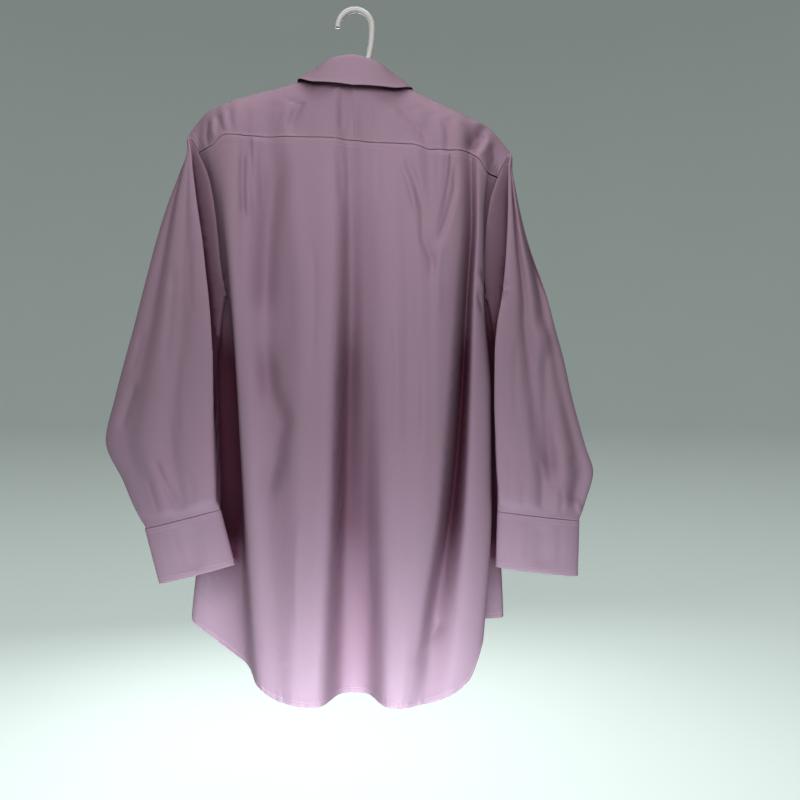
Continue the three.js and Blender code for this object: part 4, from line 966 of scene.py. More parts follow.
def cotton(name):
    """Fine plain weave: warp threads run down the cloth, weft threads across it, with a soft sheen, and painted
    shade that darkens the cloth deep in its folds.
    """
    material, nodes, links, shader = new_material(name, LILAC_LIGHT, 0.7)
    warp = stretched_noise(nodes, links, (2600, 2600, 90))
    weft = stretched_noise(nodes, links, (110, 110, 2600))
    weave = math_node(nodes, links, "ADD", warp, weft)
    cloud = stretched_noise(nodes, links, (9, 9, 5), 3.0)
    fine = math_node(nodes, links, "MULTIPLY", weave, 0.35)
    tone = math_node(nodes, links, "ADD", fine, math_node(nodes, links, "MULTIPLY", cloud, 0.6))
    colour = mixed_colour(nodes, links, tone, LILAC_DARK, LILAC_LIGHT)
    seam = nodes.new("ShaderNodeAttribute")
    seam.attribute_name = "seam"
    seam_part = math_node(nodes, links, "MULTIPLY", seam.outputs["Fac"], 0.35)
    colour = mixed_colour(nodes, links, seam_part, colour, LILAC_SEAM)
    # Painted shade: the colour is mixed towards a dark lilac where the cloth is closed in by the folds around it
    free = nodes.new("ShaderNodeAttribute")
    free.attribute_name = "open"
    hidden = nodes.new("ShaderNodeMapRange")
    hidden.inputs["From Min"].default_value = OPEN_FULL
    hidden.inputs["From Max"].default_value = OPEN_NONE
    links.new(free.outputs["Fac"], hidden.inputs["Value"])
    colour = mixed_colour(nodes, links, hidden.outputs["Result"], colour, LILAC_PAINTED_SHADE)
    links.new(colour, shader.inputs["Base Color"])
    rough = math_node(nodes, links, "ADD", math_node(nodes, links, "MULTIPLY", weave, 0.16), 0.5)
    links.new(rough, shader.inputs["Roughness"])
    rumple = stretched_noise(nodes, links, (60, 60, 30), 4.0)
    low = math_node(nodes, links, "MULTIPLY", weave, 0.05)
    height = math_node(nodes, links, "ADD", low, math_node(nodes, links, "MULTIPLY", rumple, 0.5))
    bump = nodes.new("ShaderNodeBump")
    bump.inputs["Strength"].default_value = 0.35
    bump.inputs["Distance"].default_value = 0.001
    links.new(height, bump.inputs["Height"])
    links.new(bump.outputs["Normal"], shader.inputs["Normal"])
    shader.inputs["Sheen Weight"].default_value = 0.12
    shader.inputs["Sheen Roughness"].default_value = 0.35
    shader.inputs["Sheen Tint"].default_value = (*LILAC_SEAM, 1)
    return material


def thread(name):
    material, nodes, links, shader = new_material(name, (0.62, 0.45, 0.59), 0.5)
    twist = stretched_noise(nodes, links, (4000, 4000, 4000))
    colour = mixed_colour(nodes, links, twist, (0.55, 0.38, 0.52), (0.70, 0.53, 0.67))
    links.new(colour, shader.inputs["Base Color"])
    shader.inputs["Sheen Weight"].default_value = 0.3
    return material


def plastic(name, dark, light, roughness, strength):
    material, nodes, links, shader = new_material(name, light, roughness)
    cloud = stretched_noise(nodes, links, (90, 90, 90), 3.0)
    links.new(mixed_colour(nodes, links, cloud, dark, light), shader.inputs["Base Color"])
    rough = math_node(nodes, links, "ADD", math_node(nodes, links, "MULTIPLY", cloud, 0.15), roughness - 0.07)
    links.new(rough, shader.inputs["Roughness"])
    bump = nodes.new("ShaderNodeBump")
    bump.inputs["Strength"].default_value = strength
    bump.inputs["Distance"].default_value = 0.0003
    links.new(stretched_noise(nodes, links, (700, 700, 700)), bump.inputs["Height"])
    links.new(bump.outputs["Normal"], shader.inputs["Normal"])
    return material


CLOTH_LOOK = cotton("lilac_cotton")
THREAD_LOOK = thread("lilac_thread")
HANGER_LOOK = plastic("white_hanger_plastic", (0.70, 0.69, 0.67), (0.82, 0.81, 0.79), 0.3, 0.1)
BUTTON_LOOK = plastic("pearl_button", (0.66, 0.55, 0.64), (0.80, 0.72, 0.78), 0.18, 0.05)


# Creases and small ridges, listed in plan seen from behind or from the front:
# [half width, depth (below 0 is a groove), x, z, x, z, ...] from one end to the other
BACK_CREASES = [
    [5, -3.6, -68, -192, -70, -208, -79, -234, -86, -265, -87, -304, -98, -330, -100, -362],
    [3.5, 2.2, -60, -192, -63, -215, -72, -240, -79, -270],
    [4, -3.2, -128, -200, -127, -240, -117, -278, -104, -312],
    [5, 1.6, -112, -300, -104, -345, -106, -400],
    [15, -6.5, 88, -182, 101, -235, 111, -320, 114, -410],
    [13, -6.0, 113, -425, 104, -490, 88, -530, 96, -580, 112, -640],
    [3.5, -2.4, 140, -182, 141, -230, 138, -282],
    [4, 2.0, 133, -185, 133, -235, 131, -276],
    [3, -1.0, 117, -186, 118, -222, 116, -262],
    [4, -1.4, 22, -182, 17, -215, 16, -260],
    [3, -1.0, 8, -184, 6, -220, 8, -246],
    [3, -1.0, -30, -190, -33, -230, -31, -262],
    [4, -1.1, 50, -300, 47, -380, 51, -470],
    [5, 1.0, -50, -380, -56, -470, -52, -560],
    [4, -1.0, -84, -420, -86, -520, -80, -600],
    [6, -2.4, -72, -832, -86, -812, -104, -795, -112, -775],
    [4, 1.0, 120, -800, 92, -826, 60, -828],
    [3, -0.8, 112, -808, 88, -832, 58, -833],
    [5, -1.2, -20, -700, -24, -760, -22, -830],
    [5, 1.1, 66, -640, 70, -720, 66, -800],
    [3, -0.9, -120, -640, -117, -700, -119, -750],
    [3, -2.4, 163, -340, 172, -352, 176, -362],
    [3, 2.6, 160, -352, 168, -360, 174, -366],
    [3, -2.4, -160, -338, -166, -352, -169, -362],
    [3, 2.6, -157, -350, -163, -360, -168, -370],
    [3, -2.4, -156, -368, -160, -380, -163, -395],
    [3, 1.0, 196, -560, 193, -600, 196, -650],
    [4, -1.4, 186, -500, 184, -560, 188, -620],
]
YOKE_CREASES = [
    [4, -2.0, 60, -124, 76, -146, 82, -164],
    [3, -1.0, 70, -118, 90, -136, 99, -150],
    [4, -2.0, -53, -134, -71, -152, -87, -166, -92, -184],
    [3, 1.2, -46, -138, -62, -155, -78, -172],
    [3, -1.0, 17, -134, 15, -152, 17, -166],
    [3, 0.8, 8, -124, 8, -146, 9, -168],
    [6, -3.0, -166, -160, -156, -172, -148, -186],
    [4, 1.8, -176, -168, -166, -184, -158, -197],
    [3, -1.4, -176, -176, -179, -192, -176, -206],
    [3, -1.2, 187, -146, 189, -165, 184, -184],
    [3, 1.2, 180, -142, 180, -160, 174, -176],
    [3, -1.2, 174, -140, 167, -156, 163, -168],
    [3, -0.8, -20, -128, -24, -150, -20, -172],
    [3, -0.8, -110, -150, -118, -168, -119, -184],
]
SLEEVE_LEFT_CREASES = [
    [5, -3.2, 256, -572, 238, -610, 222, -648],
    [4, 1.6, 246, -580, 230, -612, 216, -640],
    [4, -1.4, 208, -594, 203, -620, 202, -636],
    [6, -2.8, 278, -478, 290, -512, 300, -546],
    [4, -1.2, 196, -630, 186, -637, 180, -644],
    [4, 1.4, 200, -640, 190, -646, 182, -650],
    [5, -1.8, 226, -330, 232, -400, 240, -470],
    [4, -1.4, 262, -600, 254, -628, 246, -650],
    [4, -1.2, 270, -410, 276, -440, 286, -470],
    [3, -1.0, 205, -300, 207, -350, 204, -400],
    [4, 1.0, 214, -440, 218, -500, 214, -560],
    [3, -0.9, 238, -520, 230, -556, 226, -590],
]
SLEEVE_RIGHT_CREASES = [
    [9, -7.2, -220, -255, -228, -300, -237, -380, -241, -430],
    [10, -8.5, -242, -425, -247, -505, -250, -560, -254, -625],
    [5, 1.8, -250, -440, -250, -510, -258, -570],
    [5, -2.6, -232, -575, -238, -610, -238, -648],
    [9, -4.0, -276, -566, -282, -600, -274, -640],
    [3, 2.0, -284, -630, -288, -645, -290, -656],
    [4, -1.6, -262, -610, -264, -635, -262, -652],
    [4, -1.2, -206, -420, -204, -480, -207, -540],
    [3, 2.2, -176, -350, -186, -362, -193, -372],
    [3, -2.4, -178, -342, -188, -354, -196, -364],
    [3, -2.0, -172, -358, -182, -370, -190, -382],
    [3, -1.2, -216, -600, -214, -628, -216, -646],
    [4, 1.0, -222, -480, -220, -540, -224, -600],
    [3, -0.9, -196, -560, -198, -600, -196, -636],
]
FRONT_CREASES = [
    [6, -1.8, 110, -260, 100, -320, 104, -390],
    [5, 1.4, 92, -280, 84, -350, 86, -420],
    [5, -1.4, 60, -430, 52, -500, 58, -580],
    [7, -2.0, 128, -480, 120, -560, 126, -650],
    [5, 1.2, 84, -640, 78, -710, 82, -780],
    [6, -1.8, -104, -250, -98, -330, -104, -400],
    [5, 1.2, -84, -300, -78, -370, -82, -450],
    [5, -1.4, -58, -460, -52, -540, -60, -610],
    [7, -2.0, -126, -520, -118, -600, -124, -680],
    [4, -1.2, -44, -640, -40, -700, -46, -770],
    [4, -1.4, 142, -300, 150, -330, 158, -352],
    [4, -1.4, -140, -306, -150, -336, -158, -356],
    [4, 1.2, 140, -720, 132, -760, 136, -800],
    [4, -1.0, 34, -280, 30, -330, 33, -390],
]

CREASE_FADE = 0.22
# Creases are full where the cloth faces straight back or forward, and end where it turns away.
FACING_GAIN = 2.5
FACING_START = 0.3


def creased(grid, creases, side=1):
    """Adds creases to the part of a sheet that faces one side: 1 is behind, -1 is before."""
    grid = grid.copy()
    x, z = grid[..., 0], grid[..., 2]
    normals = normals_of(grid)
    facing = ease(np.abs(normals[..., 1]) * FACING_GAIN - FACING_START)
    total = np.zeros(x.shape)
    for half, depth, *line in creases:
        points = np.array(line, float).reshape(-1, 2)
        lengths = np.linalg.norm(np.diff(points, axis=0), axis=1)
        starts = np.concatenate([[0], np.cumsum(lengths)])
        best, place = np.full(x.shape, 1e9), np.zeros(x.shape)
        for k, length in enumerate(lengths):
            way = (points[k + 1] - points[k]) / length
            along = np.clip((x - points[k, 0]) * way[0] + (z - points[k, 1]) * way[1], 0, length)
            away = np.hypot(x - points[k, 0] - way[0] * along, z - points[k, 1] - way[1] * along)
            place = np.where(away < best, (starts[k] + along) / starts[-1], place)
            best = np.minimum(best, away)
        fade = ease(place / CREASE_FADE) * ease((1 - place) / CREASE_FADE)
        total += depth * bell(best / half) * fade
    grid[..., 1] += side * total * facing
    return grid


SLEEVE_MESH = [8, 7, 20, 34, 22, 22]
FACE_EDGE = [0.2, 0.5, 0.8]


def sleeve_creased(grid, creases):
    """Creases the face of a sleeve, which is the outermost run of its rings as seen from behind."""
    mask = np.zeros(grid.shape[1])
    first, last = sum(SLEEVE_MESH[:FACE_START]), sum(SLEEVE_MESH[:FACE_END])
    mask[first:last] = 1
    mask[first : first + len(FACE_EDGE)] = FACE_EDGE
    mask[last - len(FACE_EDGE) : last] = FACE_EDGE[::-1]
    return lerp(grid, creased(grid, creases), mask[None, :, None])


CUFF_FACE = 6


def cuff_creased(grid, creases):
    """Creases the face of a cuff that is seen from behind."""
    middle = (grid[..., 1].max() + grid[..., 1].min()) / 2
    behind = ease((grid[..., 1] - middle) / CUFF_FACE)
    return lerp(grid, creased(grid, creases), behind[..., None])


CUFF_LEFT_CREASES = [
    [10, -2.0, 213, -662, 204, -690, 199, -722],
    [6, 1.0, 190, -660, 184, -690, 180, -716],
    [5, -0.9, 232, -664, 222, -695, 214, -724],
]
CUFF_RIGHT_CREASES = [
    [11, -1.8, -240, -658, -237, -690, -240, -718],
    [6, 0.9, -214, -655, -212, -690, -214, -716],
    [5, -0.8, -262, -660, -262, -690, -258, -716],
]
# Puckers at the hem: height that they reach, depth, and lengths of their three waves
PUCKER_REACH = 9
PUCKER_DEPTH = 0.28
PUCKER_LENGTHS = (21.0, 13.4, 9.1)


def puckered(grid):
    """Small uneven puckers along the bottom hem of a sheet."""
    grid = grid.copy()
    up = np.linalg.norm(np.diff(grid, axis=0), axis=-1)
    height = np.concatenate([np.cumsum(up[::-1], 0)[::-1], np.zeros((1, grid.shape[1]))])
    steps = np.linalg.norm(np.diff(grid[-1], axis=0), axis=-1)
    travelled = np.concatenate([[0], np.cumsum(steps)])
    wave = sum(np.sin(2 * math.pi * travelled / length + length) for length in PUCKER_LENGTHS)
    grid[..., 1] += PUCKER_DEPTH * wave[None, :] * bell(height / PUCKER_REACH)
    return grid


# Sheets. Yoke: rounds of smoothing, crowding towards the armhole, and lift over the back's edge
YOKE_SMOOTHING = 60
YOKE_CROWD = 1.15
YOKE_LIFT = 0.5


def yoke_grid(left):
    across = 1 - (1 - np.linspace(0, 1, 121)) ** YOKE_CROWD
    along = spaced(90, (1, 2, 3.5, 5), (1, 2, 3.5, 5), 150)
    grid = yoke_point(left, across[None, :], along[:, None])
    grid[..., 2] += YOKE_LIFT * (1 - ease(along * 4))[:, None]
    # The depth is evened out along the cloth, away from the edges, so that no corner shows below the collar.
    share = (ease(across * 14) * ease((1 - across) * 14))[None, :]
    for _ in range(YOKE_SMOOTHING):
        even = (grid[:-2, :, 1] + 2 * grid[1:-1, :, 1] + grid[2:, :, 1]) / 4
        grid[1:-1, :, 1] = lerp(grid[1:-1, :, 1], even, share)
    return pulled_in(grid, 0.15, 0.5)


def pulled_in(grid, first, last):
    """Moves the two side edges of a sheet inwards along the cloth, for a seam's gap."""
    grid = grid.copy()
    grid[:, 0] += unit(grid[:, 1] - grid[:, 0]) * first
    grid[:, -1] += unit(grid[:, -2] - grid[:, -1]) * last
    return grid


def counted(counts):
    """Index numbers with a given count of steps from each whole number to the next."""
    runs = [np.linspace(k, k + 1, count, endpoint=False) for k, count in enumerate(counts)]
    return np.concatenate(runs + [[len(counts)]])


BACK_GAP = 0.5
BACK_MESH = [4, 6, 14, 40, 40, 12, 10, 10, 60, 14, 12, 12, 12, 8, 4]


def back_grid():
    knots = counted(BACK_MESH)
    top = back_top(knots) - BACK_GAP
    hem = smooth(BACK_HEM, knots, 1)
    v = spaced(150, (1, 2, 4, 6, 7, 8), (1, 2, 3, 4, 5, 6, 7, 8), 680)
    z = lerp(top[None, :], hem[None, :], v[:, None])
    u = np.broadcast_to(knots[None, :], z.shape)
    return pulled_in(back_point(u, z), 0.4, 0.4)


# Front: width of the button strip, index of the centre, millimetres to an index, and the step under the strip
STRIP_WIDTH = 34
FRONT_CENTRE = 4
CHEST_SPAN = 92
UNDER_STRIP = 2.6
UNDER_REACH = 8
UNDER_RUN = 0.09
UNDER_START = 0.4


def strip_index(offset):
    return FRONT_CENTRE - offset / CHEST_SPAN


def front_grid(start, end, columns, rows=120):
    u = np.linspace(start, end, columns)
    along = spaced(rows, (1, 2, 4), (1, 2, 3, 4, 5, 6, 7, 8), 640)
    return front_point(u[None, :], along[:, None]), u


left_front, _ = front_grid(0, strip_index(STRIP_WIDTH / 2 + 0.2), 80)
left_front = pulled_in(left_front, 0.4, 0)
right_front, places = front_grid(strip_index(STRIP_WIDTH / 2 - 2), FRONT_LAST, 96)
past_strip = strip_index(-STRIP_WIDTH / 2 - UNDER_REACH) - places
right_front[..., 1] += (UNDER_STRIP * ease(past_strip / UNDER_RUN + UNDER_START))[None, :]
right_front = pulled_in(right_front, 0, 0.4)
placket_grid, _ = front_grid(strip_index(STRIP_WIDTH / 2), strip_index(-STRIP_WIDTH / 2), 18)

left_yoke = creased(yoke_grid(True), YOKE_CREASES)
right_yoke = creased(yoke_grid(False), YOKE_CREASES)
back_cloth = puckered(creased(back_grid(), BACK_CREASES))
left_front = puckered(creased(left_front, FRONT_CREASES, -1))
right_front = puckered(creased(right_front, FRONT_CREASES, -1))

STAND_START = -78
COLLAR_END = 266
FALL_START = -86
angles = np.linspace(STAND_START, COLLAR_END, 150)
stand_grid = stand_point(angles[None, :], np.linspace(0, 1, 16)[:, None])
before_tip = np.linspace(FALL_START, COLLAR_TIP, 8)[:-1]
after_tip = np.linspace(180 - COLLAR_TIP, COLLAR_END, 8)[1:]
angles = np.concatenate([before_tip, np.linspace(COLLAR_TIP, 180 - COLLAR_TIP, 160), after_tip])
below_roll = spaced(30, (), (1, 2, 3, 5, 6, 7), 40) * (1 - ROLL_END) + ROLL_END
parts = np.concatenate([np.linspace(0, ROLL_END, 10)[:-1], below_roll])
fall_grid = fall_point(angles[None, :], parts[:, None])

# Rise and way in of the sleeve head's first two rows, and how far round the head they turn in
HEAD_TURN = ((4.2, 5.5), (6.2, 1.6))
HEAD_REACH = 1.1
# Rows above and below the underarm
SLEEVE_ROWS_ABOVE = 60
SLEEVE_ROWS_BELOW = 80


def sleeve_grid(left):
    u = counted(SLEEVE_MESH)
    levels = len(SLEEVE_LEFT if left else SLEEVE_RIGHT) - 1
    upper = np.linspace(0, SLEEVE_JOIN_ROW, SLEEVE_ROWS_ABOVE + 1)
    lower = np.linspace(SLEEVE_JOIN_ROW, levels, SLEEVE_ROWS_BELOW + 1)[1:]
    level = np.concatenate([upper, lower])
    grid = sleeve_point(left, level[:, None], u[None, :])
    # The head's first rows turn in under the yoke's end.
    depth = grid[0, :, 1]
    middle, reach = (depth.max() + depth.min()) / 2, (depth.max() - depth.min()) / 2
    share = ease(HEAD_REACH - np.abs(depth - middle) / reach)
    for row, (rise, inward) in enumerate(HEAD_TURN):
        grid[row, :, 2] += rise * share
        grid[row, :, 0] -= (1 if left else -1) * inward * share
    return grid


# Wrist: way in under the cuff, height over which the sleeve takes the cuff's curve, and how far inside it lies
TUCK_IN = 1.2
WRIST_REACH = 16
WRIST_INSIDE = 0.5
TUCK_STEPS = (2.0, 4.0, 6.0)


def tucked(grid, left):
    """Adds rows at the wrist that go down inside the cuff."""
    top, bottom, half_width, half_depth = (CUFF_LEFT if left else CUFF_RIGHT)[:4]
    part = np.clip((grid[..., 0] - top[0]) / half_width, -1, 1)
    depth = (half_depth - WRIST_INSIDE) * np.sqrt(1 - part**2)
    goal = top[1] + np.where(grid[..., 1] > top[1], depth, -depth)
    grid[..., 1] = lerp(goal, grid[..., 1], ease((grid[..., 2] - grid[-1, :, 2]) / WRIST_REACH))
    down = unit(np.array(bottom) - np.array(top))
    inward = unit(grid[-1].mean(axis=0) - grid[-1])
    around = normals_of(grid, SLEEVE_ROWS_ABOVE)[-1]
    around = around * np.sign(np.sum(around * inward, -1, keepdims=True).mean())
    rows = [grid[-1] + around * (TUCK_IN * min(1, step / TUCK_STEPS[0])) + down * step for step in TUCK_STEPS]
    return np.concatenate([grid, np.array(rows)])


def cuff_grid(left):
    return cuff_point(left, np.linspace(0, 1, 150)[None, :], spaced(20, (1, 2, 5, 6), (1, 2, 5, 6), 70)[:, None])


# Relief of the shirt, seen from behind and from the front: the outermost depth of the cloth on a grid of cells.
# Openness looks from a point in eight ways, as far as each reach, and leaves out rises under the margin.
CELL = 2.0
RELIEF_X = (-330.0, 345.0)
RELIEF_Z = (-895.0, -20.0)
RELIEF_EMPTY = -60.0
RELIEF_MARGIN = 0.8
REACH = (4, 8, 14, 22, 32, 44, 58)
LOOK_WAYS = ((1, 0), (-1, 0), (0.87, 0.5), (-0.87, 0.5), (0.87, -0.5), (-0.87, -0.5), (0, 1), (0, -1))


def relief_of(grids, side):
    """side is 1 for the relief seen from behind and -1 for the one seen from the front."""
    size = [int((RELIEF_X[1] - RELIEF_X[0]) / CELL) + 1, int((RELIEF_Z[1] - RELIEF_Z[0]) / CELL) + 1]
    relief = np.full(size, RELIEF_EMPTY)
    for grid in grids:
        fine = grid
        for axis in (0, 1):
            fine = np.moveaxis(fine, axis, 0)
            steps = [lerp(fine[:-1], fine[1:], t) for t in (0, 0.25, 0.5, 0.75)]
            fine = np.moveaxis(np.concatenate(steps + [fine[-1:]]), 0, axis)
        i = np.clip(((fine[..., 0] - RELIEF_X[0]) / CELL).astype(int), 0, size[0] - 1)
        k = np.clip(((fine[..., 2] - RELIEF_Z[0]) / CELL).astype(int), 0, size[1] - 1)
        np.maximum.at(relief, (i.ravel(), k.ravel()), side * fine[..., 1].ravel())
    return relief


def openness(points, relief, side):
    """How much of the sky in front of each point is free, from 0 in a deep gap to 1 on an open ridge."""
    free = 0.0
    depth = side * points[:, 1]
    for way_x, way_z in LOOK_WAYS:
        rise = np.zeros(len(points))
        for reach in REACH:
            far_x = (points[:, 0] + way_x * reach - RELIEF_X[0]) / CELL
            far_z = (points[:, 2] + way_z * reach - RELIEF_Z[0]) / CELL
            i = np.clip(far_x.astype(int), 0, relief.shape[0] - 1)
            k = np.clip(far_z.astype(int), 0, relief.shape[1] - 1)
            rise = np.maximum(rise, (relief[i, k] - depth - RELIEF_MARGIN) / reach)
        free = free + 1 / (1 + np.square(rise))
    return free / len(LOOK_WAYS)


# Share of the painted shade by height: light from above and below reaches into the folds there, so less is
# painted. [height, share]
SHADE_SHARE = [
    [-150, 0.45], [-230, 0.5], [-330, 0.55], [-400, 0.65], [-460, 1.0], [-560, 1.0], [-650, 0.95],
    [-710, 0.6], [-890, 0.22],
]


left_sleeve = tucked(sleeve_creased(sleeve_grid(True), SLEEVE_LEFT_CREASES), True)
right_sleeve = tucked(sleeve_creased(sleeve_grid(False), SLEEVE_RIGHT_CREASES), False)
left_cuff = cuff_creased(cuff_grid(True), CUFF_LEFT_CREASES)
right_cuff = cuff_creased(cuff_grid(False), CUFF_RIGHT_CREASES)
every_grid = [left_yoke, right_yoke, back_cloth, left_front, right_front, placket_grid]
every_grid += [stand_grid, fall_grid, left_sleeve, right_sleeve, left_cuff, right_cuff]
RELIEF_BEHIND, RELIEF_BEFORE = relief_of(every_grid, 1), relief_of(every_grid, -1)


def cloth_piece(name, grid, outward, thickness=CLOTH, join_from=None):
    piece = shell(name + "_cloth", grid, thickness, outward, join_from, CLOTH_LOOK)
    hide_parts(name)


FALL_CLOTH = 1.0
cloth_piece("yoke_left", left_yoke, -1)
cloth_piece("yoke_right", right_yoke, 1)
cloth_piece("back_panel", back_cloth, -1)
cloth_piece("front_left", left_front, 1)
cloth_piece("front_right", right_front, 1)
cloth_piece("front_placket", placket_grid, 1)
cloth_piece("collar_stand", stand_grid, 1, FIRM_CLOTH)
cloth_piece("collar_fall", fall_grid, 1, FALL_CLOTH)
cloth_piece("sleeve_left", left_sleeve, 1, CLOTH, SLEEVE_ROWS_ABOVE)
cloth_piece("sleeve_right", right_sleeve, 1, CLOTH, SLEEVE_ROWS_ABOVE)
cloth_piece("cuff_left", left_cuff, 1, FIRM_CLOTH)
cloth_piece("cuff_right", right_cuff, 1, FIRM_CLOTH)


# Strips beside the wrist openings: rows and places on the sleeve, and lift off it
STRIP_ROWS = (9.6, 12.75)
STRIP_PLACES = (4.4, 4.95)
STRIP_LIFT = 2.2


def sleeve_strip(left):
    levels, places = np.linspace(*STRIP_ROWS, 50), np.linspace(*STRIP_PLACES, 16)
    grid = sleeve_point(left, levels[:, None], places[None, :])
    return grid + normals_of(grid) * (STRIP_LIFT * (1 if left else -1))


left_strip, right_strip = sleeve_strip(True), sleeve_strip(False)
cloth_piece("sleeve_placket_left", left_strip, 1)
cloth_piece("sleeve_placket_right", right_strip, -1)

# Hanger: a closed tube loop under the shoulders, and a hook on its neck
TUBE_RADIUS = 4.4
HOOK_RADIUS = 3.7
HOOK_BEND = 22.3
SOLID_CLOTH = 1.1
ARM_GAP = 1.5
ARM_DROP = TUBE_RADIUS + SOLID_CLOTH / 2 + ARM_GAP
BAR_DROP = 24
HANGER_NECK = (-7, -79)
HOOK_TIP = 0.02


def rounded_path(points, closed, count):
    """Smooth path through points [x, z] in the plane of the hanger."""
    points = np.array(points, float)
    if closed:
        points = np.concatenate([points[-2:], points, points[:3]])
        u = np.linspace(2, len(points) - 3, count, endpoint=False)
    else:
        u = np.linspace(0, len(points) - 1, count)
    plan = curve_through(np.broadcast_to(points, (count,) + points.shape), u)
    return np.stack([plan[:, 0], np.zeros(count), plan[:, 1]], -1)


def end_turn(x, z, sign):
    turns = np.linspace(80, -80, 7) * RADIAN
    half = BAR_DROP / 2
    return [[x + sign * half * math.cos(a), z - half + half * math.sin(a)] for a in turns]


def arm(places):
    return [[x, float(shoulder_height(x)) - ARM_DROP] for x in places]


loop = [
    [HANGER_NECK[0] + 9, HANGER_NECK[1]],
    [30, -87],
    *arm([66, 90, 115, 138, 152, 163]),
    *end_turn(170, float(shoulder_height(176)) - ARM_DROP - 1, 1),
    *end_turn(-154, float(shoulder_height(-158)) - ARM_DROP - 1, -1)[::-1],
    *arm([-148, -136, -120, -100, -73]),
    [-40, -93],
    [HANGER_NECK[0] - 9, HANGER_NECK[1] - 1.5],
]
bend_turns = np.linspace(-5, 180, 17) * RADIAN
hook = [[HOOK_BEND * math.cos(a), HOOK_RADIUS - HOOK_BEND + HOOK_BEND * math.sin(a)] for a in bend_turns]
hook += [[-21.6, -34], [-19, -52], [-14, -68], list(HANGER_NECK)]


def tube_size(part):
    return np.full(part.shape, TUBE_RADIUS)


def hook_size(part):
    """The hook's free end is rounded over its first part."""
    return HOOK_RADIUS * np.sqrt(np.clip(1 - (1 - np.minimum(part / HOOK_TIP, 1)) ** 2, 0.03, 1))


hanger_look = sweep("hanger_tube", [(rounded_path(loop, True, 400), True)], tube_size, 24, HANGER_LOOK)
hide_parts("hanger")
hook_look = sweep("hanger_hook", [(rounded_path(hook, False, 160), False)], hook_size, 24, HANGER_LOOK)

for name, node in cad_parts.items():
    if "button" in name:
        node.data.materials.clear()
        node.data.materials.append(BUTTON_LOOK)

# Stitching: each piece's sheet, its outward side, and the edges that rows run beside, with the distance inside
YOKE_ROWS = (("top", 2.0), ("last", 6.0), ("bottom", 2.0))
CUFF_ROWS = (("top", 6.0), ("bottom", 6.0))
STRIP_EDGES = (("first", 2.5), ("last", 2.5), ("top", 2.5))
stitch_rows = {
    "yoke_left": (left_yoke, -1, YOKE_ROWS),
    "yoke_right": (right_yoke, 1, YOKE_ROWS),
    "back_panel": (back_cloth, -1, (("bottom", 6.0), ("top", 7.0))),
    "front_left": (left_front, 1, (("bottom", 6.0),)),
    "front_right": (right_front, 1, (("bottom", 6.0),)),
    "front_placket": (placket_grid, 1, (("first", 5.0), ("last", 5.0))),
    "collar_fall": (fall_grid, 1, (("bottom", 6.0),)),
    "collar_stand": (stand_grid, 1, (("bottom", 2.0),)),
    "cuff_left": (left_cuff, -1, CUFF_ROWS),
    "cuff_right": (right_cuff, 1, CUFF_ROWS),
    "sleeve_placket_left": (left_strip, 1, STRIP_EDGES),
    "sleeve_placket_right": (right_strip, -1, STRIP_EDGES),
}
FIRM = ("collar_stand", "collar_fall", "cuff_left", "cuff_right")
STITCH_LIFT = 0.1
for name, (grid, outward, edges) in stitch_rows.items():
    lift = (FIRM_CLOTH if name in FIRM else CLOTH) / 2 + STITCH_LIFT
    lines = [line_inside(grid, outward, edge, inset) for edge, inset in edges]
    stitches(name + "_stitches", lines, lift, THREAD_LOOK)

# Thread crosses that hold the buttons. A spot is a surface, two numbers of a place on it, a step and a lift.
BUTTON_COUNT = 6
FIRST_BUTTON = 0.085
LAST_BUTTON = 0.79
CUFF_BUTTON = (0.955, 0.5)
BUTTON_DISH = 0.28 * 2.4 + 0.25
THREAD_REACH = 1.3
THREAD_DROP = 0.6
THREAD_RADIUS = 0.3


def button_threads():
    paths = []
    spots = [
        (front_point, FRONT_CENTRE, lerp(FIRST_BUTTON, LAST_BUTTON, k / (BUTTON_COUNT - 1)), 0.01, 2.5)
        for k in range(BUTTON_COUNT)
    ]
    for left in (True, False):
        spots.append((functools.partial(cuff_point, left), *CUFF_BUTTON, 0.004, 2.45))
    for surface, a, b, step, lift in spots:
        place = surface(a, b)
        across, down = unit(surface(a + step, b) - place), unit(surface(a, b + step) - place)
        out = unit(np.cross(across, down))
        out = -out if out[1] > 0 else out
        middle = place + out * (lift + BUTTON_DISH)
        for turn in (1, -1):
            way = (across + turn * down) * THREAD_REACH
            drop = out * THREAD_DROP
            half_way = way * 0.6
            cross = [middle - way - drop, middle - half_way, middle, middle + half_way, middle + way - drop]
            paths.append((np.array(cross), False))
    return sweep("button_threads", paths, lambda part: np.full(part.shape, THREAD_RADIUS), 6, THREAD_LOOK)


button_threads()

# Room, in metres: a pale floor that curves up far away and glows more low down
FLOOR_HEIGHT = -1.5
FLOOR_RADIUS = 3.2
ROOM_RADIUS = 6.0
ROOM_HEIGHT = 5.0
GLOW_HEIGHTS = (FLOOR_HEIGHT, -0.7)
GLOW_LEVELS = (0.60, 0.30)
FLOOR_DARK = (0.575, 0.64, 0.62)
FLOOR_LIGHT = (0.615, 0.68, 0.66)


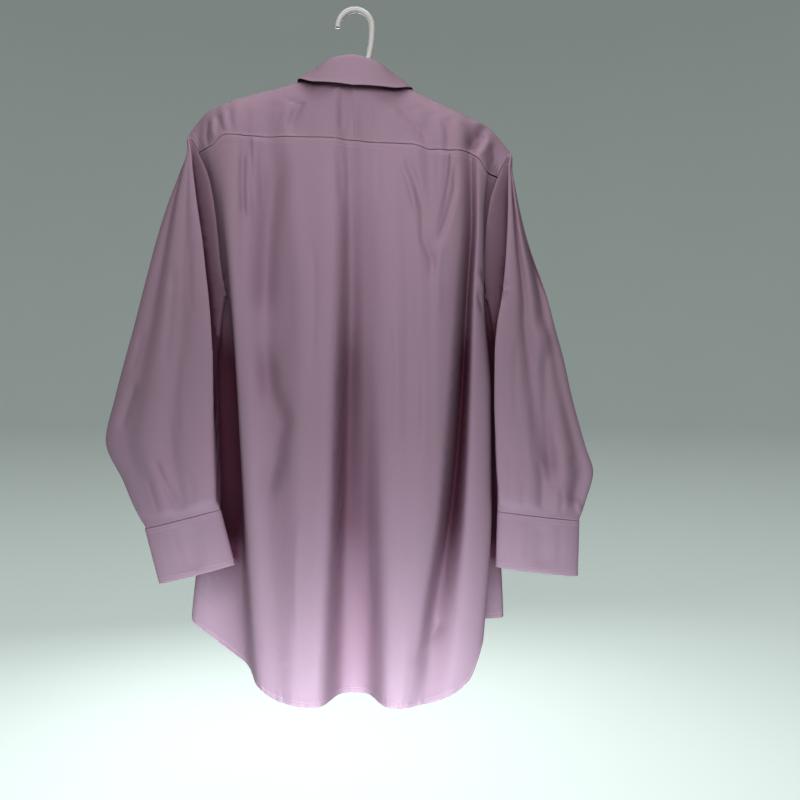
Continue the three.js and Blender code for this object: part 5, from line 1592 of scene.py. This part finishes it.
def room():
    turns = np.arange(96) * 2 * math.pi / 96
    bends = np.linspace(0, math.pi / 2, 24)
    bend = ROOM_RADIUS - FLOOR_RADIUS
    profile = [(0.01, 0.0), (1.2, 0.0), (2.2, 0.0)]
    profile += [(FLOOR_RADIUS + bend * math.sin(a), bend * (1 - math.cos(a))) for a in bends]
    profile.append((ROOM_RADIUS, ROOM_HEIGHT))
    points = [(r * math.cos(t), r * math.sin(t), FLOOR_HEIGHT + h) for r, h in profile for t in turns]
    count = len(turns)
    faces = []
    for ring in range(len(profile) - 1):
        here, above = ring * count, (ring + 1) * count
        for k in range(count):
            following = (k + 1) % count
            faces.append((here + k, here + following, above + following, above + k))
    faces.append(tuple(range(count)))
    mesh = bpy.data.meshes.new("floor")
    mesh.from_pydata(points, [], faces)
    mesh.polygons.foreach_set("use_smooth", np.ones(len(mesh.polygons), bool))
    look, nodes, links, shader = new_material("pale_floor", FLOOR_LIGHT, 0.9)
    cloud = stretched_noise(nodes, links, (2, 2, 2))
    links.new(mixed_colour(nodes, links, cloud, FLOOR_DARK, FLOOR_LIGHT), shader.inputs["Base Color"])
    shader.inputs["Emission Color"].default_value = (*FLOOR_LIGHT, 1)
    place = nodes.new("ShaderNodeTexCoord")
    split = nodes.new("ShaderNodeSeparateXYZ")
    glow = nodes.new("ShaderNodeMapRange")
    links.new(place.outputs["Object"], split.inputs["Vector"])
    links.new(split.outputs["Z"], glow.inputs["Value"])
    for socket, value in zip(("From Min", "From Max", "To Min", "To Max"), (*GLOW_HEIGHTS, *GLOW_LEVELS)):
        glow.inputs[socket].default_value = value
    links.new(glow.outputs["Result"], shader.inputs["Emission Strength"])
    mesh.materials.append(look)
    floor = bpy.data.objects.new("floor", mesh)
    bpy.context.scene.collection.objects.link(floor)
    # The floor is seen but doesn't light the cloth, so that the folds stay dark.
    floor.visible_diffuse = False


room()


# Soft lights: two on the camera's side, one of them low down, one on the hidden side and one above
def area_light(name, place, target, size, watts, colour, spread=180):
    light = bpy.data.lights.new(name, "AREA")
    light.shape = "RECTANGLE"
    light.size, light.size_y = size
    light.energy = watts
    light.spread = math.radians(spread)
    light.color = colour
    lamp = bpy.data.objects.new(name, light)
    lamp.location = place
    lamp.rotation_euler = (Vector(target) - Vector(place)).to_track_quat("-Z", "Y").to_euler()
    lamp.visible_camera = False
    bpy.context.scene.collection.objects.link(lamp)


area_light("low_soft", (-0.02, 0.44, -1.10), (-0.02, 0.0, -0.94), (0.8, 0.16), 2.9, (0.88, 0.98, 1.0), 105)
area_light("front_soft", (-0.01, 0.66, -0.06), (-0.01, 0.0, -0.24), (0.5, 0.3), 2.9, (1.0, 0.985, 1.0))
area_light("hidden_front_soft", (0.4, -2.0, 0.3), (0.0, 0.0, -0.45), (1.2, 1.2), 36, (1.0, 0.985, 1.0))
area_light("floor_wash", (0.0, 0.0, 2.6), (0.0, 0.0, -1.5), (3.0, 3.0), 60, (0.98, 1.0, 0.99))

# Even light from all round, and a view gamma that deepens the mid tones
WORLD_COLOUR = (0.56, 0.58, 0.56, 1)
WORLD_STRENGTH = 0.30
GAMMA = 0.75
scene = bpy.context.scene
scene.view_settings.view_transform = "Standard"
scene.view_settings.gamma = GAMMA
world = bpy.data.worlds.new("studio")
scene.world = world
world.use_nodes = True
world.node_tree.nodes["Background"].inputs["Color"].default_value = WORLD_COLOUR
world.node_tree.nodes["Background"].inputs["Strength"].default_value = WORLD_STRENGTH

# Camera: straight behind the shirt, level, at about half its height
CAMERA_PLACE = (-0.0585, 1.040, -0.50375)
LENS = 36
camera_data = bpy.data.cameras.new("camera")
camera_data.lens = LENS
camera_data.sensor_width = LENS
camera = bpy.data.objects.new("camera", camera_data)
camera.location = CAMERA_PLACE
camera.rotation_euler = (math.radians(90), 0, math.radians(180))
scene.collection.objects.link(camera)
scene.camera = camera
